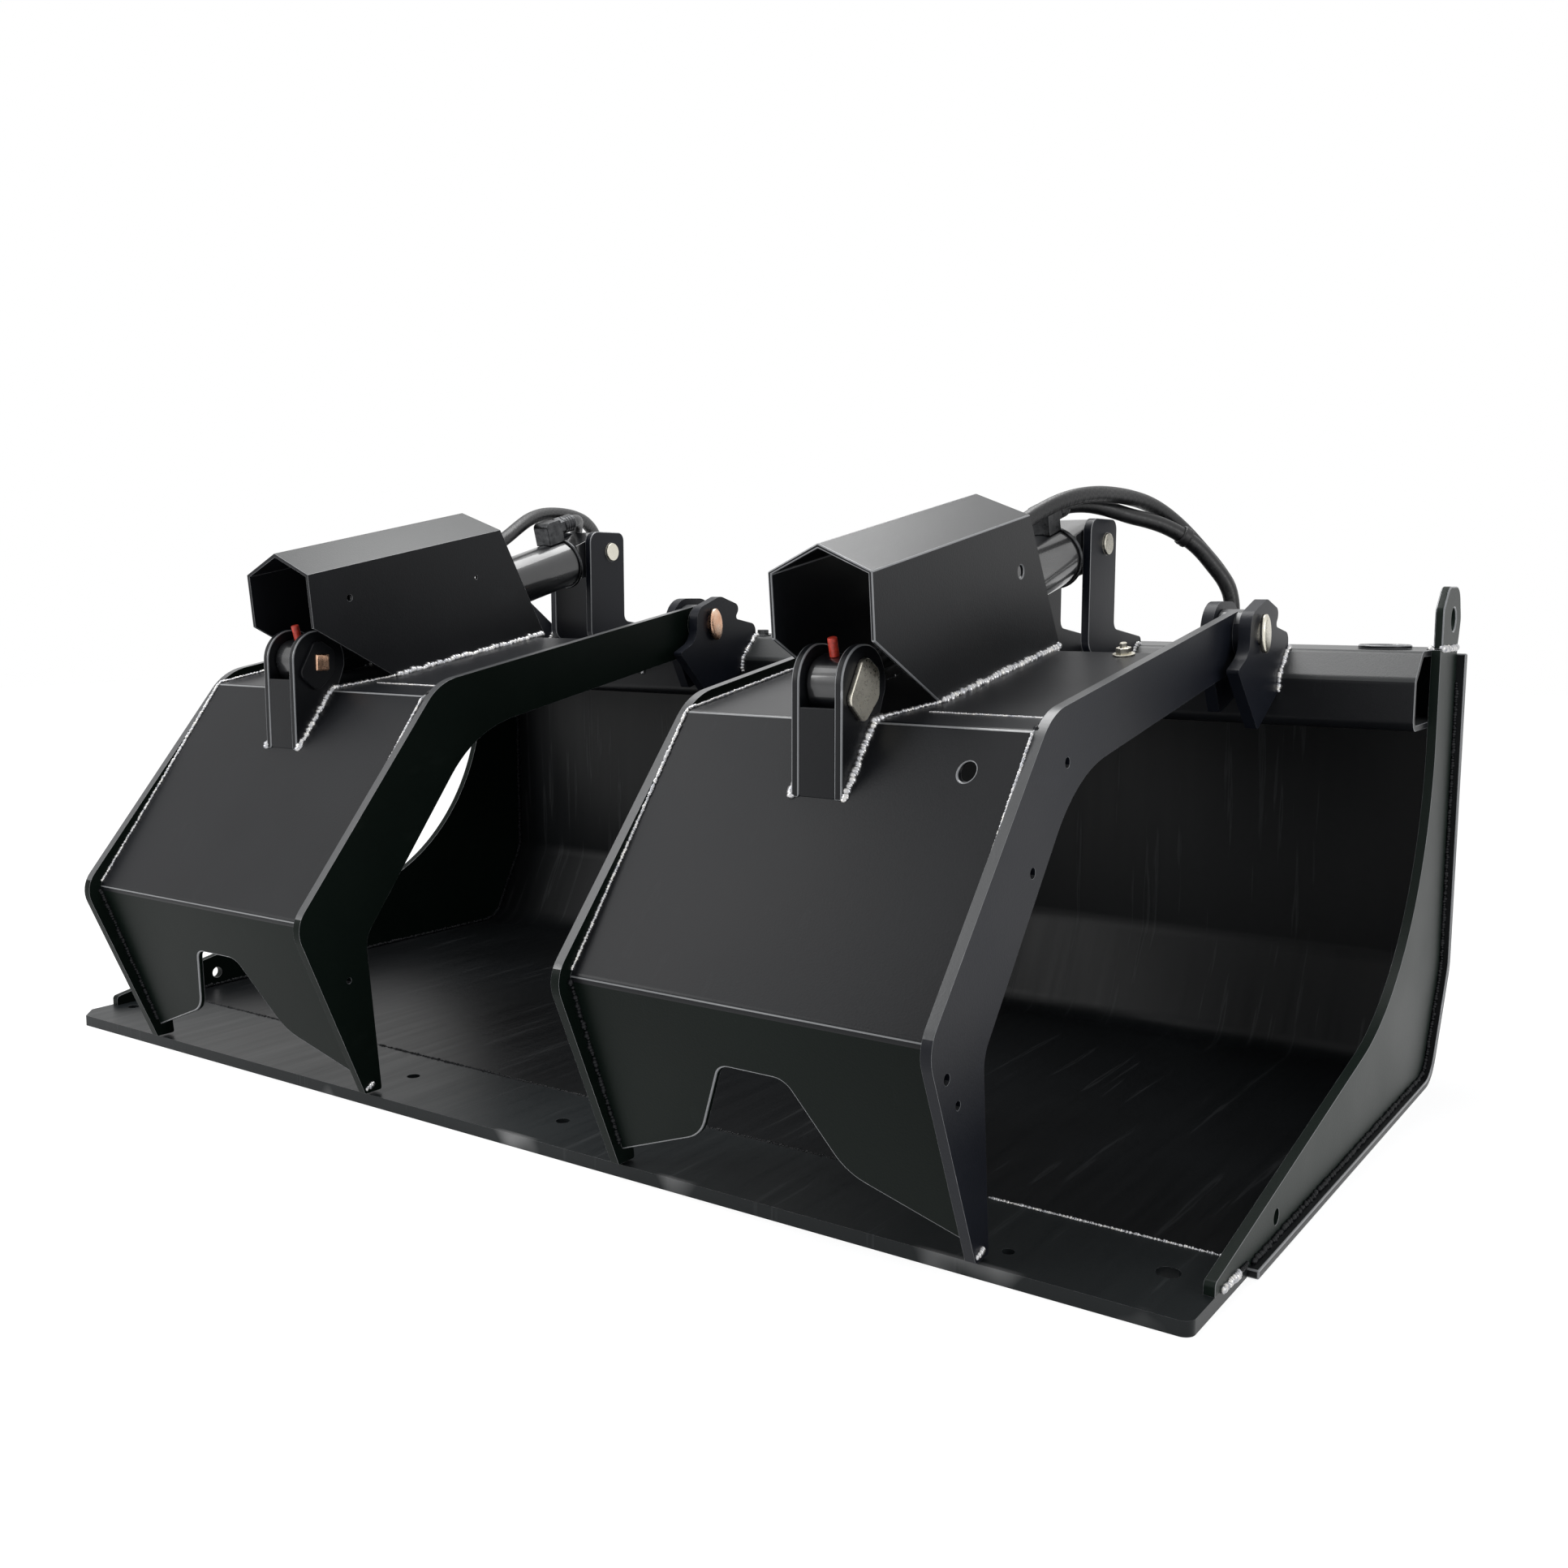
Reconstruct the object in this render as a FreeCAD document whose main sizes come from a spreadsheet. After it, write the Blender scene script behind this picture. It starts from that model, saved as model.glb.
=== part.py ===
import FreeCAD, Part
import math
import os
import re
import Sketcher

# Wood grapple bucket for a skid steer: a bent bucket shell with two claws on its top rail,
# each claw closed by its own hydraulic cylinder. Millimetres, +Z up, +X to the right when
# looking into the mouth from the front, which is along +Y. The origin is on the ground
# under the middle of the shell. Profiles are drawn as (distance behind the cutting edge's
# front, height above the ground).

os.makedirs("parts", exist_ok=True)
doc = FreeCAD.newDocument("wood_grapple_bucket")
sheet = doc.addObject("Spreadsheet::Sheet", "Sizes")
V = FreeCAD.Vector

SIZES = {
    # bucket shell and its sides
    "bucket_width": 1830,
    "shell_depth": 980,
    "shell_sheet": 10,
    "side_sheet": 12,
    "heel_run": 80,
    "heel_rise": 150,
    "heel_bend": 60,
    "shell_proud": 12,
    "side_nose_back": 45,
    "side_nose_height": 30,
    "side_hole_back": 232,
    "side_depth": 113,
    "side_throat_height": 174,
    "side_throat_bend": 370,
    # cutting edge
    "edge_thick": 16,
    "edge_depth": 140,
    "edge_nose": 18,
    "edge_corner": 26,
    "edge_round": 12,
    # rail along the top of the back
    "rail_height": 605,
    "rail_depth": 195,
    "rail_drop": 105,
    "rail_cut": 37,
    "rail_sheet": 8,
    "collar_radius": 35,
    "collar_bore": 26,
    "collar_rise": 6,
    "collar_right": 840,
    "collar_left": 150,
    # lifting lugs over the side plates
    "lug_eye_height": 645,
    "lug_eye_inset": 42,
    "lug_eye_radius": 16,
    "lug_crown": 690,
    "lug_front": 103,
    # claws
    "arm_place": 456,
    "arm_half": 240,
    "arm_sheet": 12,
    "hinge_inset": 275,
    "hinge_height": 628,
    "hinge_pin": 15,
    "arm_end": 38,
    "boss_radius": 32,
    "boss_half": 17,
    "elbow_back": 125,
    "elbow_height": 560,
    "elbow_bend": 90,
    "knee_out": 128,
    "knee_height": 262,
    "knee_bend": 40,
    "throat_back": 190,
    "throat_height": 489,
    "throat_bend": 200,
    "tip_gap": 3,
    "tip_out": 26,
    "cover_sheet": 8,
    "cover_drop": 17,
    "cover_rear": 490,
    "arch_height": 186,
    "arch_half": 42,
    "arch_flare": 95,
    "arch_foot": 36,
    # ears that hold the claws
    "ear_sheet": 16,
    "ear_radius": 42,
    "ear_foot": 500,
    "ear_reach": 88,
    "ear_heel": 120,
    "ear_notch": 52,
    "side_gap": 1,
    "running_gap": 0.05,
    # masts and cylinders
    "mast_rise": 121,
    "mast_half": 35,
    "mast_sheet": 12,
    "mast_crown": 34,
    "mast_nose": 54,
    "mast_tail": 33,
    "mast_pin": 15,
    "base_eye": 34,
    "base_eye_half": 33,
    "barrel_start": 70,
    "barrel_end": 420,
    "barrel_radius": 40,
    "barrel_bore": 32,
    "gland_length": 20,
    "rod_radius": 18,
    "piston_place": 330,
    "piston_length": 34,
    "rod_eye": 32,
    "rod_eye_hole": 25,
    "rod_eye_half": 21,
    # claw lugs that take the rod
    "rod_pin_back": 90,
    "rod_pin_height": 583,
    "rod_pin": 16,
    "lug_half": 33,
    "lug_sheet": 10,
    "lug_head": 45,
    "lug_neck": 32,
    "lug_web": 8,
    "lug_web_top": 23,
    "pin_proud": 4,
    # cylinder hood
    "hood_half": 67,
    "hood_sheet": 5,
    "hood_slope": 11,
    "hood_nose": 50,
    "hood_shoulder": 706,
    "hood_peak": 30,
    "hood_foot_front": 200,
    "hood_foot_rear": 515,
    "hood_crown_rear": 404,
    # quick attach plate behind the back
    "attach_half": 570,
    "attach_gap": 42,
    "attach_sheet": 10,
    "attach_crown": 478,
    "attach_hook": 46,
    "attach_foot": 92,
    "attach_flange": 62,
    "attach_slot_place": 370,
    "attach_slot_half": 38,
    "attach_slot_width": 22,
    "rib_sheet": 12,
    # hoses
    "hose_radius": 11,
    "fitting_radius": 15,
    "fitting_rise": 34,
    "fitting_back": 100,
    "fitting_side": 180,
    "fitting_ahead": 32,
    "fitting_apart": 42,
    "fitting_skew": 14,
}

for row, (word, value) in enumerate(SIZES.items(), start=1):
    sheet.set("A%d" % row, word)
    sheet.set("B%d" % row, str(value))
    sheet.setAlias("B%d" % row, word)
doc.recompute()

# Places that follow from the sizes, as expressions.
PLACES = {
    "hinge_back": "(shell_depth - hinge_inset)",
    "mast_back": "(shell_depth - hinge_inset + 1)",
    "mast_height": "(hinge_height + mast_rise)",
    "rail_front": "(shell_depth - rail_depth)",
    "rail_shoulder": "(rail_height - rail_cut)",
    "tip_height": "(edge_thick + tip_gap)",
    "heel_span": "((heel_run^2 + heel_rise^2)^0.5)",
    "heel_low": "(shell_depth - heel_run - shell_sheet * (heel_span - heel_run) / heel_rise)",
    "heel_high": "(heel_rise + shell_sheet * (heel_span - heel_rise) / heel_run)",
    "cover_half": "(arm_half - arm_sheet)",
    "ear_near": "(arm_half - arm_sheet / 2 - boss_half - side_gap)",
    "ear_far": "(arm_half - arm_sheet / 2 + boss_half + side_gap)",
    "attach_back": "(shell_depth + attach_gap)",
    "fitting_line": "(shell_depth - fitting_back)",
    "arm_slope": "((hinge_height + arm_end - elbow_height) / (hinge_back + arm_end - elbow_back))",
    "cover_elbow_back": "(elbow_back - cover_drop)",
    "cover_elbow_height": "(elbow_height - cover_drop)",
    "cover_knee_back": "(1.3 * cover_drop - knee_out)",
    "front_slope": "((cover_elbow_height - knee_height) / (cover_elbow_back - cover_knee_back))",
    "rod_reach": "(((mast_back - rod_pin_back)^2 + (mast_height - rod_pin_height)^2)^0.5)",
    "rod_rise": "atan((mast_height - rod_pin_height) / (mast_back - rod_pin_back))",
}


def bound(text):
    """The expression with its places worked out and its sizes pointing at the sheet."""
    text = str(text)
    while any(re.search(r"\b%s\b" % word, text) for word in PLACES):
        for word, formula in PLACES.items():
            text = re.sub(r"\b%s\b" % word, formula, text)
    return re.sub(r"[a-z][a-z_]+", lambda m: "Sizes." + m[0] if m[0] in SIZES else m[0], text)


gauge = doc.addObject("App::FeaturePython", "Gauge")
gauge.addProperty("App::PropertyFloat", "Reading")
readings = {}


def number(text):
    """The present value of an expression, read off a bound property."""
    if text not in readings:
        gauge.setExpression("Reading", bound(text))
        gauge.recompute()
        readings[text] = gauge.Reading
    return readings[text]


def profile(body, name, plane, depth, slide="-shell_depth / 2"):
    """A sketch on one of the body's own planes, moved to its depth along that plane's normal."""
    sketch = body.newObject("Sketcher::SketchObject", name)
    feature = next(f for f in body.Origin.OriginFeatures if f.Role == plane + "_Plane")
    sketch.AttachmentSupport = (feature, [""])
    sketch.MapMode = "FlatFace"
    sketch.setExpression("AttachmentOffset.Base.z", bound(depth))
    if plane == "YZ":
        sketch.setExpression("AttachmentOffset.Base.x", bound(slide))
    if plane == "XY":
        sketch.setExpression("AttachmentOffset.Base.y", bound(slide))
    return sketch


def pin_down(sketch, geometry, point, across, up):
    """Hold one point of a sketch by its two distances from the sketch's origin."""
    for kind, text in (("DistanceX", across), ("DistanceY", up)):
        value = number(text)
        index = sketch.addConstraint(Sketcher.Constraint(kind, -1, 1, geometry, point, value))
        sketch.setExpression("Constraints[%d]" % index, bound(text))


def circle(sketch, across, up, radius):
    """A round hole or boss."""
    centre = V(number(across), number(up), 0)
    geometry = sketch.addGeometry(Part.Circle(centre, V(0, 0, 1), number(radius)))
    pin_down(sketch, geometry, 3, across, up)
    index = sketch.addConstraint(Sketcher.Constraint("Radius", geometry, number(radius)))
    sketch.setExpression("Constraints[%d]" % index, bound(radius))


def bend_at(before, corner, after, radius):
    """Where a bend of this radius starts and ends at a corner, with its centre and turn."""
    back = (before - corner).normalize()
    ahead = (after - corner).normalize()
    half = back.getAngle(ahead) / 2
    reach = radius / math.tan(half)
    centre = corner + (back + ahead).normalize() * (radius / math.sin(half))
    left = (corner - before).cross(after - corner).z > 0
    return corner + back * reach, corner + ahead * reach, centre, left


def add_bend(sketch, start, end, centre, left, radius):
    """An arc from start to end round a centre; the number of its first and last point."""
    first, last = (start, end) if left else (end, start)
    angles = [math.atan2(p.y - centre.y, p.x - centre.x) for p in (first, last)]
    ring = Part.Circle(centre, V(0, 0, 1), radius)
    arc = sketch.addGeometry(Part.ArcOfCircle(ring, angles[0], angles[1]))
    return arc, (1, 2) if left else (2, 1)


def outline(sketch, corners):
    """A closed outline through corners (across, up) or, rounded, (across, up, radius)."""
    points = [V(number(c[0]), number(c[1]), 0) for c in corners]
    count = len(corners)
    bends = []
    for i, corner in enumerate(corners):
        bend = None
        if len(corner) == 3:
            radius = number(corner[2])
            bend = bend_at(points[i - 1], points[i], points[(i + 1) % count], radius)
        bends.append(bend)
    lines = []
    for i in range(count):
        j = (i + 1) % count
        start = bends[i][1] if bends[i] else points[i]
        end = bends[j][0] if bends[j] else points[j]
        lines.append(sketch.addGeometry(Part.LineSegment(start, end)))
    for i, corner in enumerate(corners):
        before, after = lines[i - 1], lines[i]
        if not bends[i]:
            sketch.addConstraint(Sketcher.Constraint("Coincident", before, 2, after, 1))
            pin_down(sketch, after, 1, corner[0], corner[1])
            continue
        start, end, centre, left = bends[i]
        arc, ends = add_bend(sketch, start, end, centre, left, number(corner[2]))
        mark = sketch.addGeometry(Part.Point(points[i]), True)
        pin_down(sketch, mark, 1, corner[0], corner[1])
        sketch.addConstraint(Sketcher.Constraint("PointOnObject", mark, 1, before))
        sketch.addConstraint(Sketcher.Constraint("PointOnObject", mark, 1, after))
        sketch.addConstraint(Sketcher.Constraint("Tangent", before, 2, arc, ends[0]))
        sketch.addConstraint(Sketcher.Constraint("Tangent", arc, ends[1], after, 1))
        index = sketch.addConstraint(Sketcher.Constraint("Radius", arc, number(corner[2])))
        sketch.setExpression("Constraints[%d]" % index, bound(corner[2]))
    return sketch


def sheet_outline(sketch, path, thickness, side):
    """The section of a bent sheet: its path is one face, the other lies to the given side."""
    points = [V(number(p[0]), number(p[1]), 0) for p in path]
    gauge = number(thickness)
    steps = [(b - a).normalize() for a, b in zip(points, points[1:])]
    turned = [V(-s.y, s.x, 0) * side for s in steps]
    inner = [points[0] + turned[0] * gauge]
    for i in range(1, len(points) - 1):
        middle = (turned[i - 1] + turned[i]).normalize()
        inner.append(points[i] + middle * (gauge / middle.dot(turned[i])))
    inner.append(points[-1] + turned[-1] * gauge)
    faces = []
    for chain, extra in ((points, 0), (inner, 1)):
        bends = [None]
        for i in range(1, len(points) - 1):
            left = (points[i] - points[i - 1]).cross(points[i + 1] - points[i]).z > 0
            grows = -1 if left == (side > 0) else 1
            radius = "%s + %d * %s" % (path[i][2], grows * extra, thickness)
            bends.append((bend_at(chain[i - 1], chain[i], chain[i + 1], number(radius)), radius))
        bends.append(None)
        lines = []
        for i in range(len(points) - 1):
            start = bends[i][0][1] if bends[i] else chain[i]
            end = bends[i + 1][0][0] if bends[i + 1] else chain[i + 1]
            lines.append(sketch.addGeometry(Part.LineSegment(start, end)))
        for i in range(1, len(points) - 1):
            (start, end, centre, left), radius = bends[i]
            arc, ends = add_bend(sketch, start, end, centre, left, number(radius))
            sketch.addConstraint(Sketcher.Constraint("Tangent", lines[i - 1], 2, arc, ends[0]))
            sketch.addConstraint(Sketcher.Constraint("Tangent", arc, ends[1], lines[i], 1))
            index = sketch.addConstraint(Sketcher.Constraint("Radius", arc, number(radius)))
            sketch.setExpression("Constraints[%d]" % index, bound(radius))
            if not extra:
                mark = sketch.addGeometry(Part.Point(chain[i]), True)
                pin_down(sketch, mark, 1, path[i][0], path[i][1])
                sketch.addConstraint(Sketcher.Constraint("PointOnObject", mark, 1, lines[i - 1]))
                sketch.addConstraint(Sketcher.Constraint("PointOnObject", mark, 1, lines[i]))
        faces.append(lines)
    near, far = faces
    pin_down(sketch, near[0], 1, path[0][0], path[0][1])
    pin_down(sketch, near[-1], 2, path[-1][0], path[-1][1])
    for a, b in zip(near, far):
        sketch.addConstraint(Sketcher.Constraint("Parallel", a, b))
        index = sketch.addConstraint(Sketcher.Constraint("Distance", b, 1, a, gauge))
        sketch.setExpression("Constraints[%d]" % index, bound(thickness))
    for line, other, end in ((near[0], far[0], 1), (near[-1], far[-1], 2)):
        ends = [sketch.getPoint(line, end), sketch.getPoint(other, end)]
        cap = sketch.addGeometry(Part.LineSegment(*ends))
        sketch.addConstraint(Sketcher.Constraint("Coincident", line, end, cap, 1))
        sketch.addConstraint(Sketcher.Constraint("Coincident", other, end, cap, 2))
        sketch.addConstraint(Sketcher.Constraint("Perpendicular", line, cap))
    return sketch


def body_named(name):
    body = doc.addObject("PartDesign::Body", name)
    body.Label = name
    return body


def pad(body, sketch, length, both_ways=False):
    """Raise a profile along its normal, or to both sides of it."""
    feature = body.newObject("PartDesign::Pad", sketch.Name + "_pad")
    feature.Profile = sketch
    if both_ways:
        feature.SideType = "Symmetric"
    feature.setExpression("Length", bound(length))
    sketch.Visibility = False
    return feature


def pocket(body, sketch, length=None, both_ways=False, turned=False):
    """Cut a profile through the body, or to a depth, or to both sides of its plane."""
    feature = body.newObject("PartDesign::Pocket", sketch.Name + "_cut")
    feature.Profile = sketch
    if both_ways:
        feature.SideType = "Symmetric"
    if length is None:
        feature.Type = "ThroughAll"
    else:
        feature.setExpression("Length", bound(length))
    feature.Reversed = turned
    return feature


def plate(name, place, thickness, corners, holes=()):
    """A flat plate cut to a side profile, standing across X, from place towards +X."""
    body = body_named(name)
    sketch = outline(profile(body, name + "_profile", "YZ", place), corners)
    for hole in holes:
        circle(sketch, *hole)
    pad(body, sketch, thickness)
    return body


def bent(name, place, width, path, thickness, side):
    """A sheet bent along a side profile, as wide as given, half to each side of place."""
    body = body_named(name)
    sketch = profile(body, name + "_section", "YZ", place)
    pad(body, sheet_outline(sketch, path, thickness, side), width, both_ways=True)
    return body


def group(name, members):
    """Several separate solids kept as one piece."""
    compound = doc.addObject("Part::Compound", name)
    compound.Label = name
    compound.Links = members
    return compound


def cross_pin(name, centre, across, up, radius, half):
    """A round pin that lies along X."""
    body = body_named(name)
    sketch = profile(body, name + "_round", "YZ", centre)
    circle(sketch, across, up, radius)
    pad(body, sketch, "2 * (%s)" % half, both_ways=True)
    return body


def over_cover(back):
    """The height of the top panel's outer face at a distance behind the edge."""
    return "cover_elbow_height + (%s - cover_elbow_back) * arm_slope" % back


def on_front(back):
    """The height of the front panel's outer face at a distance behind the edge."""
    return "cover_elbow_height + (%s - cover_elbow_back) * front_slope" % back


# The bucket: one bent sheet for floor and back, a thick edge bar in front of it, a bent
# sheet rail that boxes in its top, and a plate on each side, standing inside the shell's
# bent ends.

INNER_WIDTH = "bucket_width - 2 * side_sheet"

bent("bucket_shell", "0", "bucket_width + 2 * shell_proud", [
    ("edge_depth", "0"),
    ("shell_depth - heel_run", "0", "heel_bend"),
    ("shell_depth", "heel_rise", "heel_bend"),
    ("shell_depth", "rail_height - rail_sheet"),
], "shell_sheet", 1)

edge = body_named("cutting_edge")
edge_plan = outline(profile(edge, "edge_plan", "XY", "0"), [
    ("bucket_width / 2", "-edge_nose", "edge_round"),
    ("bucket_width / 2", "edge_depth"),
    ("-bucket_width / 2", "edge_depth"),
    ("-bucket_width / 2", "edge_corner - edge_nose"),
    ("edge_corner - bucket_width / 2", "-edge_nose"),
])
for across, back, radius in (
    ("bucket_width / 2 - 57", "73", "13"),
    ("bucket_width / 2 - 209", "26", "7"),
    ("65", "54", "9"),
    ("-229", "69", "9"),
    ("40 - bucket_width / 2", "56", "9"),
):
    circle(edge_plan, across, back, radius)
pad(edge, edge_plan, "edge_thick")

bent("top_rail", "0", INNER_WIDTH, [
    ("shell_depth - shell_sheet", "rail_height - rail_drop"),
    ("rail_front", "rail_height - rail_drop", "2 * rail_sheet"),
    ("rail_front", "rail_shoulder", "2 * rail_sheet"),
    ("rail_front + rail_cut", "rail_height", "2 * rail_sheet"),
    ("shell_depth", "rail_height"),
], "rail_sheet", -1)

rail_holes = profile(doc.top_rail, "rail_holes", "XY", "rail_height - rail_sheet / 2")
COLLARS = ("collar_right", "-collar_left")
for across in COLLARS:
    circle(rail_holes, across, "fitting_line", "collar_bore")
pocket(doc.top_rail, rail_holes, "2 * rail_sheet", both_ways=True)

collars = []
for number_of, across in enumerate(COLLARS):
    collar = body_named("rail_collar_%d" % number_of)
    ring = profile(collar, "collar_ring_%d" % number_of, "XY", "rail_height")
    circle(ring, across, "fitting_line", "collar_radius")
    circle(ring, across, "fitting_line", "collar_bore")
    pad(collar, ring, "collar_rise")
    collars.append(collar)
group("rail_collars", collars)

SIDE = [
    ("side_nose_back", "edge_thick"),
    ("side_nose_back", "side_nose_height", "6"),
    ("shell_depth - side_depth", "side_throat_height", "side_throat_bend"),
    ("shell_depth - side_depth", "rail_height"),
    ("shell_depth - shell_sheet", "rail_height"),
    ("shell_depth - shell_sheet", "heel_high", "heel_bend - shell_sheet"),
    ("heel_low", "shell_sheet", "heel_bend - shell_sheet"),
    ("edge_depth", "shell_sheet"),
    ("edge_depth", "edge_thick"),
]
LUG = [
    ("shell_depth - lug_front", "rail_height"),
    ("shell_depth - lug_front", "lug_eye_height + 14", "12"),
    ("shell_depth - lug_front + 30", "lug_crown", "24"),
    ("shell_depth - 12", "lug_crown", "26"),
    ("shell_depth + 4", "lug_eye_height", "20"),
    ("shell_depth - 4", "rail_height + 14", "8"),
    ("shell_depth - shell_sheet", "rail_height"),
]
LUG_EYE = ("shell_depth - lug_eye_inset", "lug_eye_height", "lug_eye_radius")
for name, place in (("left", "-bucket_width / 2"), ("right", "bucket_width / 2 - side_sheet")):
    plate(name + "_side_plate", place, "side_sheet", SIDE, [("side_hole_back", "32", "9")])
    plate(name + "_lifting_lug", place, "side_sheet", LUG, [LUG_EYE])


# Claws: each has two plates cut to the claw's profile, a sheet bent twice between them, a
# hood over its cylinder, and a pair of lugs that take the cylinder's rod.

ARM = [
    ("hinge_back + arm_end", "hinge_height + arm_end", "0.95 * arm_end"),
    ("elbow_back", "elbow_height", "elbow_bend"),
    ("-knee_out", "knee_height", "knee_bend"),
    ("-tip_out", "tip_height", "3"),
    ("2", "tip_height", "3"),
    ("throat_back - 206", "knee_height - 32", "knee_bend"),
    ("throat_back", "throat_height", "throat_bend"),
    ("hinge_back + arm_end", "hinge_height - arm_end", "0.95 * arm_end"),
]
COVER = [
    ("cover_rear", over_cover("cover_rear")),
    ("cover_elbow_back", "cover_elbow_height", "1.5 * cover_sheet"),
    ("cover_knee_back", "knee_height", "1.5 * cover_sheet"),
    ("8 - tip_out", "tip_height + 10"),
]
HOOD = [
    ("hood_nose - 4", "hood_shoulder + hood_peak"),
    ("hood_crown_rear", "hood_shoulder + hood_peak + (hood_crown_rear - hood_nose + 4) * tan(hood_slope)"),
    ("hood_foot_rear", over_cover("hood_foot_rear")),
    ("hood_foot_front", over_cover("hood_foot_front")),
    ("hood_nose + 6", "hood_shoulder - 74"),
]
ROD_LUG = [
    ("rod_pin_back - lug_head", "rod_pin_height + lug_head", "0.95 * lug_head"),
    ("rod_pin_back - lug_head", on_front("rod_pin_back - lug_head")),
    ("cover_elbow_back", "cover_elbow_height"),
    ("rod_pin_back + lug_neck", over_cover("rod_pin_back + lug_neck")),
    ("rod_pin_back + lug_head", "rod_pin_height - 6", "18"),
    ("rod_pin_back + lug_head", "rod_pin_height + lug_head", "0.95 * lug_head"),
]
FLAG = [
    ("rod_pin_back - 8", "rod_pin_height + 36", "14"),
    ("rod_pin_back - 39", "rod_pin_height - 16", "12"),
    ("rod_pin_back - 8", "rod_pin_height - 42", "12"),
    ("rod_pin_back + 23", "rod_pin_height - 14", "14"),
    ("rod_pin_back + 23", "rod_pin_height + 16", "12"),
]


def claw_plate(name, side, centre, holes):
    """One of a claw's two profile-cut plates, with the boss that turns on the hinge pin."""
    place = "%s + arm_half - arm_sheet" % centre if side > 0 else "%s - arm_half" % centre
    bore = ("hinge_back", "hinge_height", "hinge_pin + running_gap")
    body = plate(name, place, "arm_sheet", ARM, (bore,) + holes)
    ring = profile(body, name + "_boss", "YZ", "%s + arm_sheet / 2" % place)
    circle(ring, "hinge_back", "hinge_height", "boss_radius")
    circle(ring, *bore)
    pad(body, ring, "2 * boss_half", both_ways=True)
    return body


def claw_cover(name, centre, hole):
    """The sheet between the plates, with the arch cut out of its lower panel."""
    body = bent(name, centre, "2 * cover_half", COVER, "cover_sheet", 1)
    arch = profile(body, name + "_arch", "XZ", "0")
    half = "%s %s (%s)"
    corners = [("cover_half + 1", "0"), ("cover_half + 1", "arch_foot"),
               ("arch_flare", "2.4 * arch_foot", "60"), ("arch_half", "arch_height", "22")]
    shape = [(half % (centre, "+", c[0]),) + c[1:] for c in corners]
    shape += [(half % (centre, "-", c[0]),) + c[1:] for c in reversed(corners)]
    pocket(body, outline(arch, shape), both_ways=True)
    if hole:
        spot = profile(body, name + "_hole", "XZ", "0")
        circle(spot, "%s + 168" % centre, "499", "10")
        pocket(body, spot, both_ways=True)
    return body


def hood(name, centre, holes):
    """A house-shaped tunnel over the cylinder, open at both ends and seated on the cover."""
    body = body_named(name)
    side = outline(profile(body, name + "_side", "YZ", centre), HOOD)
    pad(body, side, "2 * hood_half", both_ways=True)
    for label, inset, grows in (("roof", "0", 1), ("inside", "hood_sheet", 0)):
        sketch = profile(body, name + "_" + label, "XZ", "0")
        sketch.AttachmentOffset = FreeCAD.Placement(V(0, 0, 0), V(1, 0, 0), number("hood_slope"))
        sketch.setExpression("AttachmentOffset.Rotation.Angle", bound("hood_slope"))
        sketch.setExpression("AttachmentOffset.Base.y", bound("hood_shoulder"))
        sketch.setExpression("AttachmentOffset.Base.z", bound("shell_depth / 2 - hood_nose"))
        if grows:
            for sign in ("+", "-"):
                outline(sketch, [
                    ("%s" % centre, "hood_peak"),
                    ("%s %s hood_half" % (centre, sign), "0"),
                    ("%s %s (hood_half + 9)" % (centre, sign), "0"),
                    ("%s %s (hood_half + 9)" % (centre, sign), "2 * hood_peak"),
                    ("%s" % centre, "2 * hood_peak"),
                ])
        else:
            outline(sketch, [
                ("%s - hood_half + hood_sheet" % centre, "-300"),
                ("%s + hood_half - hood_sheet" % centre, "-300"),
                ("%s + hood_half - hood_sheet" % centre, "-hood_sheet / 2"),
                ("%s" % centre, "hood_peak - 1.1 * hood_sheet"),
                ("%s - hood_half + hood_sheet" % centre, "-hood_sheet / 2"),
            ])
        pocket(body, sketch, both_ways=True)
    if holes:
        spots = profile(body, name + "_holes", "YZ", "%s + hood_half" % centre)
        for hole in holes:
            circle(spots, *hole)
        pocket(body, spots, "4 * hood_sheet", both_ways=True)
    return body


def rod_lugs(name, centre):
    """The two plates on the claw's elbow that hold the cylinder's rod pin."""
    hole = ("rod_pin_back", "rod_pin_height", "rod_pin + running_gap")
    near = plate(name + "_near", "%s - lug_half" % centre, "lug_sheet", ROD_LUG, [hole])
    far = plate(name + "_far", "%s + lug_half - lug_sheet" % centre, "lug_sheet", ROD_LUG, [hole])
    return group(name, [near, far])


def lug_floor(name, centre):
    """The web that joins the lugs in front of the rod eye, with its foot on the front panel."""
    body = body_named(name)
    front = "rod_pin_back - lug_head + 1"
    rear = front + " + lug_web"
    heel = "rod_pin_back - lug_head / 3"
    web = outline(profile(body, name + "_web", "YZ", centre), [
        (front, on_front("(%s)" % front)),
        (front, "rod_pin_height - lug_web_top"),
        (rear, "rod_pin_height - lug_web_top"),
        (rear, on_front("(%s)" % rear) + " + 2 * lug_web", "lug_web / 2"),
        (heel, on_front("(%s)" % heel) + " + lug_web"),
        (heel, on_front("(%s)" % heel)),
    ])
    pad(body, web, "2 * (lug_half - lug_sheet)", both_ways=True)
    return body


def rod_pin(name, centre):
    """The pin through the lugs, with the flag that keeps it from turning."""
    body = cross_pin(name, centre, "rod_pin_back", "rod_pin_height", "rod_pin", "lug_half + pin_proud")
    flag = outline(profile(body, name + "_flag", "YZ", "%s + lug_half" % centre), FLAG)
    pad(body, flag, "1.5 * pin_proud")
    return body


# Hinges: every claw plate turns between two ears that stand on the rail.

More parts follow.
